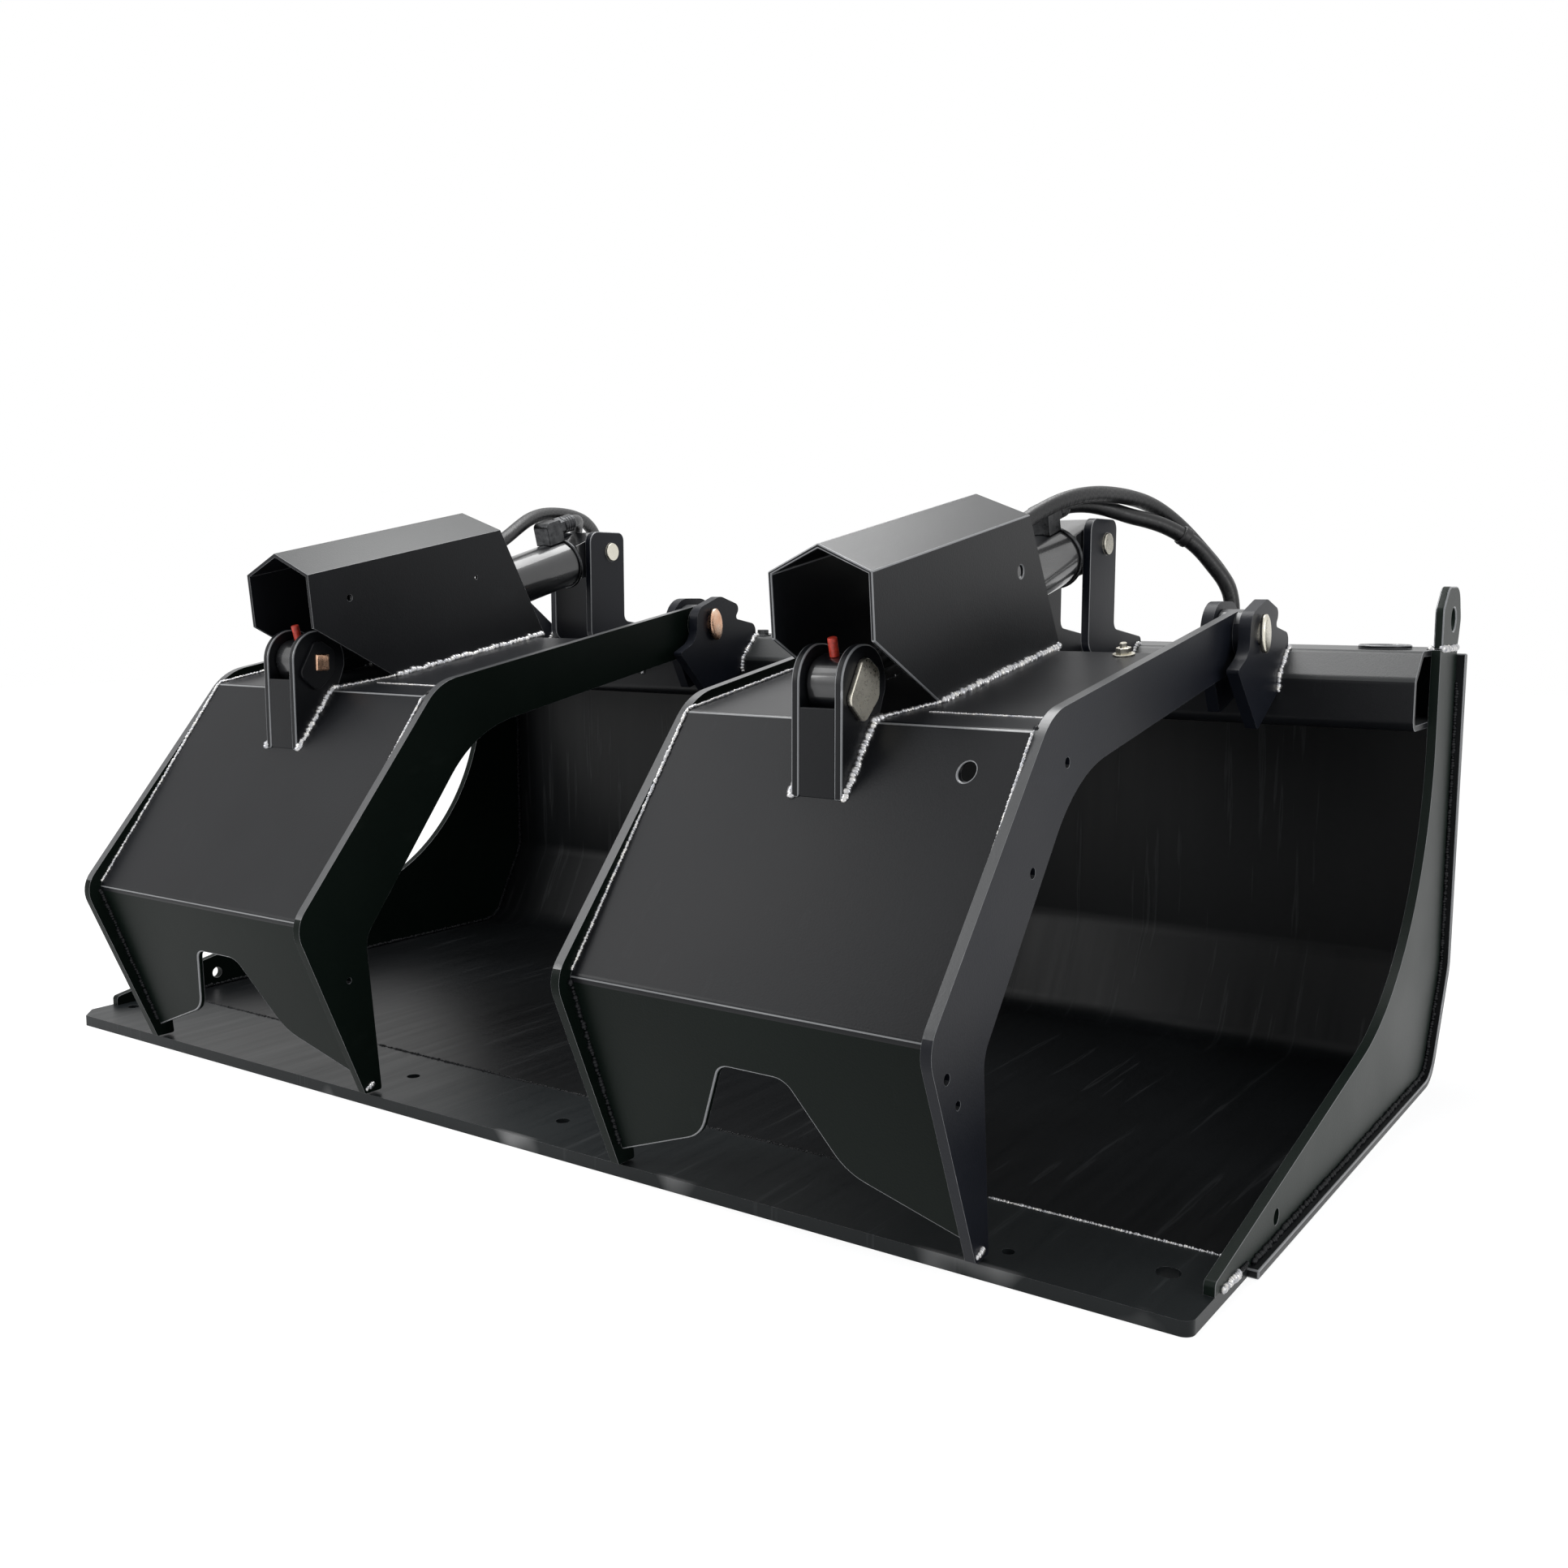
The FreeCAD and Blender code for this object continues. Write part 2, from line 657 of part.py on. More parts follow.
EAR_FOOT = [
    ("rail_front", "ear_foot + 45"),
    ("rail_front", "rail_shoulder"),
    ("rail_front + rail_cut", "rail_height"),
    ("hinge_back + ear_heel", "rail_height"),
]
FAR_EAR = EAR_FOOT + [
    ("hinge_back + ear_heel", "hinge_height - 2", "14"),
    ("hinge_back + ear_notch", "hinge_height + 10", "5"),
    ("hinge_back + ear_notch + 38", "hinge_height + 26", "10"),
    ("hinge_back + 20", "hinge_height + 1.1 * ear_radius", "24"),
    ("hinge_back - ear_radius", "hinge_height + 0.6 * ear_radius", "0.6 * ear_radius"),
    ("hinge_back - ear_reach / 2", "hinge_height - 26", "30"),
    ("hinge_back - ear_reach", "hinge_height - 46", "4"),
    ("hinge_back", "ear_foot", "6"),
]
NEAR_EAR = EAR_FOOT + [
    ("hinge_back + ear_heel - 4", "rail_height + 12", "6"),
    ("hinge_back + ear_radius", "hinge_height + ear_radius", "0.9 * ear_radius"),
    ("hinge_back - ear_radius", "hinge_height + ear_radius", "0.95 * ear_radius"),
    ("hinge_back - ear_radius", "hinge_height - 30", "30"),
    ("hinge_back", "ear_foot + 20", "6"),
]


def ears(name, centre):
    """The two pairs of ears and, apart from them, the two pins of one claw."""
    hole = ("hinge_back", "hinge_height", "hinge_pin")
    plates, pins = [], []
    for side, sign in (("left", "-"), ("right", "+")):
        for which, corners, edge in (("near", NEAR_EAR, "ear_near"), ("far", FAR_EAR, "ear_far")):
            outward = (which == "far") == (sign == "+")
            place = "%s %s %s" % (centre, sign, edge)
            if not outward:
                place += " - ear_sheet"
            part = plate("%s_%s_%s" % (name, side, which), place, "ear_sheet", corners, [hole])
            plates.append(part)
        middle = "%s %s (arm_half - arm_sheet / 2)" % (centre, sign)
        half = "boss_half + side_gap + ear_sheet + pin_proud"
        pin = cross_pin("%s_%s_pin" % (name, side), middle, *hole[:2], "hinge_pin", half)
        pins.append(pin)
    group(name + "_ears", plates)
    group(name + "_pins", pins)


# Masts: two tall plates per cylinder, standing on the rail round the cylinder's base eye.

MAST = [
    ("rail_front", "rail_height - 70"),
    ("rail_front", "rail_shoulder"),
    ("rail_front + rail_cut", "rail_height"),
    ("rail_front + rail_cut + 20", "rail_height"),
    ("rail_front + rail_cut + 18", "rail_height + 12", "8"),
    ("mast_back + mast_tail", "rail_height + 26", "12"),
    ("mast_back + mast_tail", "mast_height + mast_crown", "14"),
    ("mast_back - mast_nose", "mast_height + mast_crown", "20"),
    ("mast_back - mast_nose", "rail_height", "20"),
]


def mast(name, centre):
    hole = ("mast_back", "mast_height", "mast_pin")
    left = plate(name + "_a", "%s - mast_half - mast_sheet" % centre, "mast_sheet", MAST, [hole])
    right = plate(name + "_b", "%s + mast_half" % centre, "mast_sheet", MAST, [hole])
    group(name, [left, right])
    half = "mast_half + mast_sheet + pin_proud"
    cross_pin(name + "_pin", centre, "mast_back", "mast_height", "mast_pin", half)


# Cylinders: drawn along their own axis from the mast pin, then laid along the line from
# the mast pin to the claw's rod pin. Along is measured from the mast pin, out from the axis.

def along_axis(body, centre):
    body.Placement = FreeCAD.Placement(V(0, 0, 0), V(1, 0, 0), number("rod_rise"))
    body.setExpression("Placement.Rotation.Angle", bound("rod_rise"))
    for axis, text in (("x", centre), ("y", "mast_back - shell_depth / 2"), ("z", "mast_height")):
        body.setExpression("Placement.Base." + axis, bound(text))


def turned(name, centre, corners):
    """A round piece about the cylinder's axis, from its half section (along, out)."""
    body = body_named(name)
    sketch = profile(body, name + "_half", "YZ", "0", slide="0")
    outline(sketch, [("-(%s)" % c[0],) + c[1:] for c in corners])
    feature = body.newObject("PartDesign::Revolution", name + "_turned")
    feature.Profile = sketch
    feature.ReferenceAxis = (sketch, ["H_Axis"])
    feature.Angle = 360
    sketch.Visibility = False
    along_axis(body, centre)
    return body


def eye(name, centre, corners, hole, half):
    """A flat-sided eye on the cylinder's axis, bored across."""
    body = body_named(name)
    sketch = profile(body, name + "_side", "YZ", "0", slide="0")
    outline(sketch, [("-(%s)" % c[0],) + c[1:] for c in corners])
    circle(sketch, "-(%s)" % hole[0], "0", hole[1])
    pad(body, sketch, "2 * %s" % half, both_ways=True)
    along_axis(body, centre)
    return body


def tube_section(start, end, inner, outer):
    return [(start, inner), (end, inner), (end, outer), (start, outer)]


def cylinder(side, centre):
    """One double-acting cylinder: the barrel's pieces first, then the rod's."""
    gland_end = "barrel_end + gland_length"
    back = "-0.97 * base_eye"
    eye(side + "_base_eye", centre, [
        ("barrel_start", "28"), ("0", "base_eye", "12"), (back, "base_eye", "0.9 * base_eye"),
        (back, "-base_eye", "0.9 * base_eye"), ("0", "-base_eye", "12"), ("barrel_start", "-28"),
    ], ("0", "mast_pin + running_gap"), "base_eye_half")
    turned(side + "_barrel", centre, [
        ("barrel_start", "0"), ("barrel_start", "barrel_radius - 3"),
        ("barrel_start + 3", "barrel_radius"), ("barrel_end", "barrel_radius"),
        ("barrel_end", "barrel_bore"), ("barrel_start + 12", "barrel_bore"),
        ("barrel_start + 12", "0"),
    ])
    turned(side + "_gland", centre, [
        ("barrel_end - 24", "rod_radius + running_gap"), ("barrel_end - 24", "barrel_bore"),
        ("barrel_end", "barrel_bore"), ("barrel_end", "barrel_radius"),
        (gland_end + " - 3", "barrel_radius"), (gland_end, "barrel_radius - 3"),
        (gland_end, "rod_radius + running_gap"),
    ])
    turned(side + "_piston", centre, tube_section(
        "piston_place", "piston_place + piston_length", "rod_radius", "barrel_bore - running_gap"))
    turned(side + "_rod", centre, [
        ("piston_place - 8", "0"), ("piston_place - 8", "rod_radius - 2"),
        ("piston_place", "rod_radius"), ("rod_reach - 44", "rod_radius"), ("rod_reach - 44", "0"),
    ])
    nose = "rod_reach + rod_eye"
    eye(side + "_rod_eye", centre, [
        ("rod_reach - 44", "24"), ("rod_reach - 12", "rod_eye", "14"),
        (nose, "rod_eye", "0.9 * rod_eye"), (nose, "-rod_eye", "0.9 * rod_eye"),
        ("rod_reach - 12", "-rod_eye", "14"), ("rod_reach - 44", "-24"),
    ], ("rod_reach", "rod_eye_hole"), "rod_eye_half")


def ports(name, centre):
    """The two oil ports on top of the barrel, welded on, each a block with its elbow."""
    blocks = []
    for which, start, end, top in (("base", "barrel_start + 6", "barrel_start + 42", "barrel_radius + 36"),
                                   ("rod", "barrel_end - 38", "barrel_end - 8", "barrel_radius + 30")):
        body = body_named("%s_%s" % (name, which))
        sketch = profile(body, "%s_%s_side" % (name, which), "YZ", "0", slide="0")
        outline(sketch, [("-(%s)" % start, "0.96 * barrel_radius"), ("-(%s)" % start, top, "5"),
                         ("-(%s)" % end, top, "9"), ("-(%s)" % end, "0.96 * barrel_radius")])
        pad(body, sketch, "0.8 * barrel_radius", both_ways=True)
        round_seat = profile(body, "%s_%s_seat" % (name, which), "XZ", "0")
        circle(round_seat, "0", "0", "barrel_radius")
        pocket(body, round_seat, both_ways=True)
        along_axis(body, centre)
        blocks.append(body)
    group(name, blocks)


def grease_cap(name, centre):
    """A short capped grease nipple standing on the rod eye."""
    body = body_named(name)
    plan = profile(body, name + "_plan", "XY", "rod_eye", slide="0")
    circle(plan, "0", "-rod_reach", "5.5")
    pad(body, plan, "22")
    along_axis(body, centre)


# Hoses: straight runs with tangent bends, from the ports to the fittings on the rail.

def hose_path(points):
    """A wire through hand-chosen points, each bend as large as its two runs allow."""
    points = [V(*p) for p in points]
    edges, last, radii = [], points[0], []
    for before, corner, after in zip(points, points[1:], points[2:]):
        back, ahead = (before - corner), (after - corner)
        half = back.getAngle(ahead) / 2
        reach = 0.45 * min(back.Length, ahead.Length)
        radii.append(reach * math.tan(half))
        start = corner + back.normalize() * reach
        end = corner + ahead.normalize() * reach
        centre = corner + (back + ahead).normalize() * (reach / math.cos(half))
        middle = centre + (corner - centre).normalize() * radii[-1]
        edges += [Part.LineSegment(last, start).toShape(), Part.Arc(start, middle, end).toShape()]
        last = end
    edges.append(Part.LineSegment(last, points[-1]).toShape())
    return Part.Wire(edges), min(radii)


def hose(name, points):
    path, tightest = hose_path(points)
    radius = sheet.get("hose_radius")
    ring = Part.Wire(Part.makeCircle(radius, V(*points[0]), V(*points[1]) - V(*points[0])))
    shape = path.makePipeShell([ring], True, False)
    piece = doc.addObject("Part::Feature", name)
    piece.Label = name
    piece.Shape = shape
    share = shape.Volume / (math.pi * radius ** 2 * path.Length)
    print("%s: %.0f mm long, tightest bend %.0f mm, volume over section times length %.4f"
          % (name, path.Length, tightest, share))


def rail_fittings(name, sign):
    """Two hose fittings on the rail beside a cylinder's mast, one behind the other."""
    solids = []
    for across, back in (("arm_place + fitting_side", "fitting_line - fitting_ahead"),
                         ("arm_place + fitting_side - fitting_skew",
                          "fitting_line - fitting_ahead + fitting_apart")):
        body = body_named("%s_%d" % (name, len(solids)))
        for level, radius, rise in (("rail_height", "fitting_radius", "0.4 * fitting_rise"),
                                    ("rail_height + 0.4 * fitting_rise", "0.8 * fitting_radius",
                                     "0.6 * fitting_rise")):
            sketch = profile(body, "%s_step_%d" % (body.Name, len(body.Group)), "XY", level)
            circle(sketch, "%s(%s)" % (sign, across), back, radius)
            pad(body, sketch, rise)
        solids.append(body)
    group(name, solids)


ROD_HOSE = [
    (456, -166.9, 703.9), (456, -128.3, 714.3), (456, -89.6, 725.8), (456.6, -51.7, 739.2),
    (459.5, -14.4, 754.4), (465.5, 22.1, 771), (475, 58.1, 788), (486.3, 94.4, 802.4),
    (497, 131.6, 811.4), (506.3, 170, 815.6), (513.6, 209.1, 815.9), (522.7, 248.3, 813.5),
    (533.7, 286.4, 806.8), (546.7, 321.6, 792.5), (561.8, 352.2, 771.3), (580.6, 374.5, 743.7),
    (601.8, 391.5, 714), (622, 400, 679.4), (622, 400, 639.3),
]
BASE_HOSE = [
    (456, 126.8, 789.2), (456, 155.1, 796.8), (463.9, 183.6, 802.6), (480.3, 208.4, 803),
    (500.8, 229.2, 797), (521.1, 249.8, 787.9), (541.5, 271, 782.1), (560.2, 292.6, 773.4),
    (578.5, 312.1, 760), (595.7, 329.2, 742.5), (610.9, 341.7, 720), (626.6, 352.8, 697),
    (636, 358, 669.2), (636, 358, 639.3),
]

CLAWS = (
    ("left", "-1 * arm_place", -1, "-", (("-46", "178", "4"),),
     (("120", "674", "5"), ("366", "704", "3")), False),
    ("right", "arm_place", 1, "", (("165", "505", "6"), ("86", "398", "6"), ("-91", "227", "6"),
                                  ("-68", "195", "5")), (("398", "708", "8"),), True),
)
for side, centre, mirror, sign, plate_holes, hood_holes, cover_hole in CLAWS:
    arm = side + "_claw"
    claw_plate(arm + "_left_plate", -1, centre, ())
    claw_plate(arm + "_right_plate", 1, centre, plate_holes)
    claw_cover(arm + "_cover", centre, cover_hole)
    hood(side + "_hood", centre, hood_holes)
    rod_lugs(side + "_rod_lugs", centre)
    lug_floor(side + "_lug_floor", centre)
    rod_pin(side + "_rod_pin", centre)
    ears(side + "_hinge", centre)
    mast(side + "_mast", centre)
    cylinder(side, centre)
    ports(side + "_ports", centre)
    grease_cap(side + "_grease_cap", centre)
    rail_fittings(side + "_hose_fittings", sign)
    hose(side + "_rod_hose", [(mirror * x, y, z) for x, y, z in ROD_HOSE])
    hose(side + "_base_hose", [(mirror * x, y, z) for x, y, z in BASE_HOSE])


# The quick attach plate: one sheet with its top folded into a hook over the machine's
# coupler and its foot into a flange with two slots for the coupler's wedges.

bent("attach_plate", "0", "2 * attach_half", [
    ("attach_back + attach_hook", "attach_crown - 0.8 * attach_hook"),
    ("attach_back", "attach_crown", "1.6 * attach_sheet"),
    ("attach_back", "attach_foot", "1.6 * attach_sheet"),
    ("attach_back + attach_flange", "0.62 * attach_foot"),
], "attach_sheet", 1)
slots = profile(doc.attach_plate, "attach_slots", "XY", "0")
for sign in ("-", ""):
    place = "%sattach_slot_place" % sign
    round_end = "0.499 * attach_slot_width"
    outline(slots, [
        ("%s - attach_slot_half" % place, "attach_back + 24", round_end),
        ("%s + attach_slot_half" % place, "attach_back + 24", round_end),
        ("%s + attach_slot_half" % place, "attach_back + 24 + attach_slot_width", round_end),
        ("%s - attach_slot_half" % place, "attach_back + 24 + attach_slot_width", round_end),
    ])
pocket(doc.attach_plate, slots, "attach_foot + 20", turned=True)

RIB = [
    ("shell_depth", "heel_rise + 10"),
    ("attach_back", "attach_foot + 20"),
    ("attach_back", "attach_crown - 16"),
    ("shell_depth", "attach_crown - 16"),
]
ribs = []
for place in ("-attach_half", "-0.36 * attach_half - rib_sheet", "0.36 * attach_half",
              "attach_half - rib_sheet"):
    ribs.append(plate("attach_rib_%d" % len(ribs), place, "rib_sheet", RIB))
group("attach_ribs", ribs)


# Every object has to be sound before anything is written.

doc.recompute()
faults = [o.Name for o in doc.Objects if "Invalid" in o.State or "Error" in o.State]
held = {member for o in doc.Objects if o.TypeId == "Part::Compound" for member in o.Links}
KINDS = ("PartDesign::Body", "Part::Compound", "Part::Feature")
pieces = [o for o in doc.Objects if o.TypeId in KINDS and o not in held]
faults += [p.Label for p in pieces if p.Shape.isNull() or not p.Shape.isValid()]
if faults:
    raise RuntimeError("unsound: " + ", ".join(faults))
for piece in pieces:
    piece.Shape.exportStep("parts/%s.step" % piece.Label)
print("%d pieces, %d solids" % (len(pieces), sum(len(p.Shape.Solids) for p in pieces)))
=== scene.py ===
# %% [markdown]
# Wood grapple bucket.
# The real object is a welded bucket with two claws on its top rail. Its steel pieces come
# from the imported model with their true sizes, so this lesson only dresses them: it softens
# their edges, paints them, and adds what a drawing leaves out, such as weld beads, hose
# ends, bolts and pin keepers. We start by loading that model.

import math
import random

import bmesh
import bpy
from mathutils import Matrix, Vector


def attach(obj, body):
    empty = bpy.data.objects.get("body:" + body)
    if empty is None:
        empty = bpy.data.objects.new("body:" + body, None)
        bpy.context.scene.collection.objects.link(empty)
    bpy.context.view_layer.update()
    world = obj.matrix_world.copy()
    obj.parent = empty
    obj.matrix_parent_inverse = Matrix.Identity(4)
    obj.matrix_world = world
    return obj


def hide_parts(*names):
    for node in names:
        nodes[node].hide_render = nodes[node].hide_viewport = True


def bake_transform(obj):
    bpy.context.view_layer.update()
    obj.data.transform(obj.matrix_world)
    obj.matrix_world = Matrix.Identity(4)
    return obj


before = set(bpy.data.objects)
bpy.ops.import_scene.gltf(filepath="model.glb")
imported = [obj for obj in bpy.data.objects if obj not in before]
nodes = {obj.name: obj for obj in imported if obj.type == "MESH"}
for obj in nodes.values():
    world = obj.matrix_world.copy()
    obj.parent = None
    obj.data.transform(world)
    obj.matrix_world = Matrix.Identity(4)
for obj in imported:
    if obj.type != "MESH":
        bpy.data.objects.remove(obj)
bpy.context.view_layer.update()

# %% [markdown]
# The drawing gives places in millimetres: across from the middle, back from the cutting
# edge, and height over the ground. Blender works in metres with its origin under the middle
# of the shell, so one small helper turns the first into the second. Both claws are built
# alike, one on each side of the middle.

# %% Places in the drawing's own terms
SHELL_MIDDLE = 490
CLAW_PLACE = 456
CLAWS = {"left": -CLAW_PLACE, "right": CLAW_PLACE}


def spot(across, back, height):
    """A place of the drawing, in metres."""
    return Vector((across, back - SHELL_MIDDLE, height)) / 1000


def on_top_panel(back, over=0):
    """The height of a claw's top panel that far behind the cutting edge."""
    return 543 + (back - 108) * 0.17152 + over


def on_front_panel(back, over=0):
    """The height of a claw's front panel that far behind the cutting edge."""
    return 543 + (back - 108) * 1.3137 + over


# %% [markdown]
# The camera stands to the right of the mouth, a little above the rail, and looks slightly
# down. A wide floor and soft lamps make a plain studio. The backdrop is white because the
# world is white for camera rays and for reflections, not because more light falls on the
# steel. A small lamp in front, called panel_glow, gives the sloped panels a soft light middle.

# %% Camera
eye = bpy.data.cameras.new("eye")
eye.lens = 35.4
eye.sensor_width = 36
camera = bpy.data.objects.new("eye", eye)
camera.location = (1.375, -1.828, 0.690)
camera.rotation_euler = (math.radians(90 - 7.3), 0, math.radians(34.8))
bpy.context.scene.collection.objects.link(camera)
bpy.context.scene.camera = camera
bpy.context.scene.view_settings.view_transform = "Standard"

# %% Lamps
def lamp(name, place, aim, size, power, tint=(1, 1, 1)):
    """A square softbox at a place, turned to face another."""
    light = bpy.data.lights.new(name, "AREA")
    light.size = size
    light.energy = power
    light.color = tint
    holder = bpy.data.objects.new(name, light)
    holder.location = place
    holder.rotation_euler = (Vector(aim) - Vector(place)).to_track_quat("-Z", "Y").to_euler()
    bpy.context.scene.collection.objects.link(holder)


lamp("overhead", (-0.3, 0.5, 2.6), (0, 0, 0.4), 1.6, 46)
lamp("front_left", (-2.2, -3.0, 1.7), (0, 0, 0.4), 1.2, 34)
lamp("right_side", (3.2, -0.6, 1.2), (0.6, 0, 0.4), 1.0, 13)
lamp("panel_glow", (-1.2, -1.45, 2.15), (0.1, -0.45, 0.4), 1.1, 9)

# %% World
world = bpy.data.worlds.new("studio")
bpy.context.scene.world = world
world.use_nodes = True
sky = world.node_tree
sky.nodes.clear()
path = sky.nodes.new("ShaderNodeLightPath")
seen = sky.nodes.new("ShaderNodeMath")
seen.operation = "MAXIMUM"
seen_too = sky.nodes.new("ShaderNodeMath")
seen_too.operation = "MAXIMUM"
soft = sky.nodes.new("ShaderNodeBackground")
soft.inputs["Color"].default_value = (0.95, 0.97, 1.0, 1)
soft.inputs["Strength"].default_value = 0.4
white = sky.nodes.new("ShaderNodeBackground")
white.inputs["Color"].default_value = (1, 1, 1, 1)
either = sky.nodes.new("ShaderNodeMixShader")
out = sky.nodes.new("ShaderNodeOutputWorld")
sky.links.new(path.outputs["Is Camera Ray"], seen.inputs[0])
sky.links.new(path.outputs["Is Glossy Ray"], seen.inputs[1])
sky.links.new(seen.outputs[0], seen_too.inputs[0])
sky.links.new(path.outputs["Is Transmission Ray"], seen_too.inputs[1])
sky.links.new(seen_too.outputs[0], either.inputs["Fac"])
sky.links.new(soft.outputs[0], either.inputs[1])
sky.links.new(white.outputs[0], either.inputs[2])
sky.links.new(either.outputs[0], out.inputs["Surface"])

# %% [markdown]
# Every finish below is a small node tree. Four helpers keep them readable: one starts a
# finish, one makes a noise at a given scale, one turns a value into a colour through a
# ramp, and one adds a bump. All of them read Object coordinates, which are metres here
# because each piece's own origin is the scene's origin.

# %% Helpers for finishes
def start_finish(name, metallic=0.0, coat=0.0, coat_rough=0.2, shine=0.5):
    """A new material with its shader and its coordinates in metres."""
    finish = bpy.data.materials.new(name)
    finish.use_nodes = True
    tree = finish.node_tree
    shader = tree.nodes["Principled BSDF"]
    shader.inputs["Metallic"].default_value = metallic
    shader.inputs["Coat Weight"].default_value = coat
    shader.inputs["Coat Roughness"].default_value = coat_rough
    shader.inputs["Specular IOR Level"].default_value = shine
    coords = tree.nodes.new("ShaderNodeTexCoord").outputs["Object"]
    return finish, tree, shader, coords


def noise(tree, coords, scale, detail=2.0, stretch=None):
    """A noise with features about one metre over its scale, stretched where asked."""
    if stretch:
        mapping = tree.nodes.new("ShaderNodeMapping")
        mapping.inputs["Scale"].default_value = stretch
        tree.links.new(coords, mapping.inputs["Vector"])
        coords = mapping.outputs["Vector"]
    node = tree.nodes.new("ShaderNodeTexNoise")
    node.inputs["Scale"].default_value = scale
    node.inputs["Detail"].default_value = detail
    tree.links.new(coords, node.inputs["Vector"])
    return node.outputs["Fac"]


def ramp(tree, value, stops):
    """A colour ramp through (place, colour) stops, from a value between 0 and 1."""
    node = tree.nodes.new("ShaderNodeValToRGB")
    band = node.color_ramp
    while len(band.elements) < len(stops):
        band.elements.new(0.5)
    for element, (place, colour) in zip(band.elements, stops):
        element.position = place
        element.color = (*colour, 1) if len(colour) == 3 else (*([colour[0]] * 3), 1)
    tree.links.new(value, node.inputs["Fac"])
    return node.outputs["Color"]


def blend_by(tree, fac, first, second, kind="MIX"):
    """Two colours mixed by a value."""
    node = tree.nodes.new("ShaderNodeMix")
    node.data_type = "RGBA"
    node.blend_type = kind
    for socket, value in ((node.inputs[0], fac), (node.inputs[6], first), (node.inputs[7], second)):
        if isinstance(value, (int, float)):
            socket.default_value = value
        elif isinstance(value, tuple):
            socket.default_value = (*value, 1)
        else:
            tree.links.new(value, socket)
    return node.outputs[2]


def bump(tree, shader, layers):
    """Bumps of (height, distance in metres, strength) laid one over the other."""
    below = None
    for height, distance, strength in layers:
        node = tree.nodes.new("ShaderNodeBump")
        node.inputs["Distance"].default_value = distance
        node.inputs["Strength"].default_value = strength
        tree.links.new(height, node.inputs["Height"])
        if below:
            tree.links.new(below, node.inputs["Normal"])
        below = node.outputs["Normal"]
    tree.links.new(below, shader.inputs["Normal"])


# %% [markdown]
# Powder coat is baked plastic dust: it flows into a skin with a fine orange peel, a little
# thin and greyish on sharp edges, with faint rubs where timber has slid over it. One
# function makes all of its tones, and several of them are painted light or shade: green and
# blue tones are painted shade on the sides that face away from the lamps, a green-grey tone
# is painted light from the right lamp on the right side, lighter tones are painted light on
# tops and painted highlight on plate rims and in bends, and the greyish edge tone is partly
# wear and partly painted highlight.

# %% Powder coat
def powder_coat(name, tone, dust, rough, rub=0.05, shine=0.2):
    """Satin black powder coat with orange peel, cloudy gloss, dust and rubs."""
    finish, tree, shader, coords = start_finish(name, shine=shine)
    cloud = noise(tree, coords, 4.5, 3)
    rubs = noise(tree, coords, 3.0, 8, stretch=(14, 2.2, 5))
    scratch = ramp(tree, rubs, [(0.0, (0,)), (0.64, (0,)), (0.68, (1,)), (0.72, (0,))])
    colour = blend_by(tree, ramp(tree, cloud, [(0.3, (0,)), (0.8, (1,))]), tone, dust)
    worn = tree.nodes.new("ShaderNodeMath")
    worn.operation = "MULTIPLY"
    worn.inputs[1].default_value = rub
    tree.links.new(scratch, worn.inputs[0])
    colour = blend_by(tree, worn.outputs[0], colour, tuple(2.6 * part + 0.02 for part in dust))
    tree.links.new(colour, shader.inputs["Base Color"])
    low, high = rough
    sheen = ramp(tree, cloud, [(0.3, (low,)), (0.75, (high,))])
    tree.links.new(sheen, shader.inputs["Roughness"])
    peel = noise(tree, coords, 420, 3)
    grit = noise(tree, coords, 1400, 1)
    bump(tree, shader, [(peel, 0.00022, 0.55), (grit, 0.00005, 0.4)])
    return finish


coat = powder_coat("powder_coat", (0.006, 0.0065, 0.008), (0.010, 0.011, 0.013), (0.33, 0.40))
# Painted shade: a darker green tone for the sides that face away from the lamps.
painted_shade_green_coat = powder_coat("powder_coat_painted_green_shade", (0.003, 0.006, 0.0045), (0.005, 0.009, 0.007),
                         (0.36, 0.44), shine=0.07)
# Painted light: a lighter green-grey tone for the right side plate and lug, where the right lamp falls.
painted_light_side_coat = powder_coat("powder_coat_painted_side_light", (0.005, 0.010, 0.0075), (0.009, 0.015, 0.012),
                        (0.38, 0.46), shine=0.14)
# Painted shade: a blue-black tone for the sides that face away from the lamps.
painted_shade_blue_coat = powder_coat("powder_coat_painted_blue_shade", (0.005, 0.006, 0.010), (0.009, 0.011, 0.017),
                        (0.33, 0.42))
# Painted light: a lighter tone for upward faces, as if lit from above.
painted_light_roof_coat = powder_coat("powder_coat_painted_roof_light", (0.020, 0.022, 0.023), (0.030, 0.032, 0.033),
                        (0.34, 0.40), shine=0.4)
# Partly wear, partly painted highlight: a light grey tone for the rounded edges.
worn_and_highlight_coat = powder_coat("powder_coat_worn_edge_and_painted_highlight", (0.20, 0.21, 0.22), (0.34, 0.34, 0.35),
                        (0.22, 0.34), 0.3, 0.8)
# Painted highlight: a pale tone for the faces in the cover's two bends.
painted_bend_highlight_coat = powder_coat("powder_coat_painted_bend_highlight", (0.20, 0.205, 0.21), (0.32, 0.325, 0.33),
                          (0.24, 0.3), shine=0.7)
# Painted highlight: a lighter tone for the top rims of the claw plates.
painted_highlight_rim_coat = powder_coat("powder_coat_painted_rim_highlight", (0.05, 0.052, 0.055), (0.09, 0.092, 0.095),
                           (0.28, 0.34), shine=0.6)
print("powder coat in eight tones")

# %% [markdown]
# The bucket's floor and the bar at its front see the most wear. The paint there keeps its
# black, but it is rubbed along the way the timber slides, and it has gone to bare steel in
# places on the bar's nose. A ramp over the distance behind the nose places that bare strip.

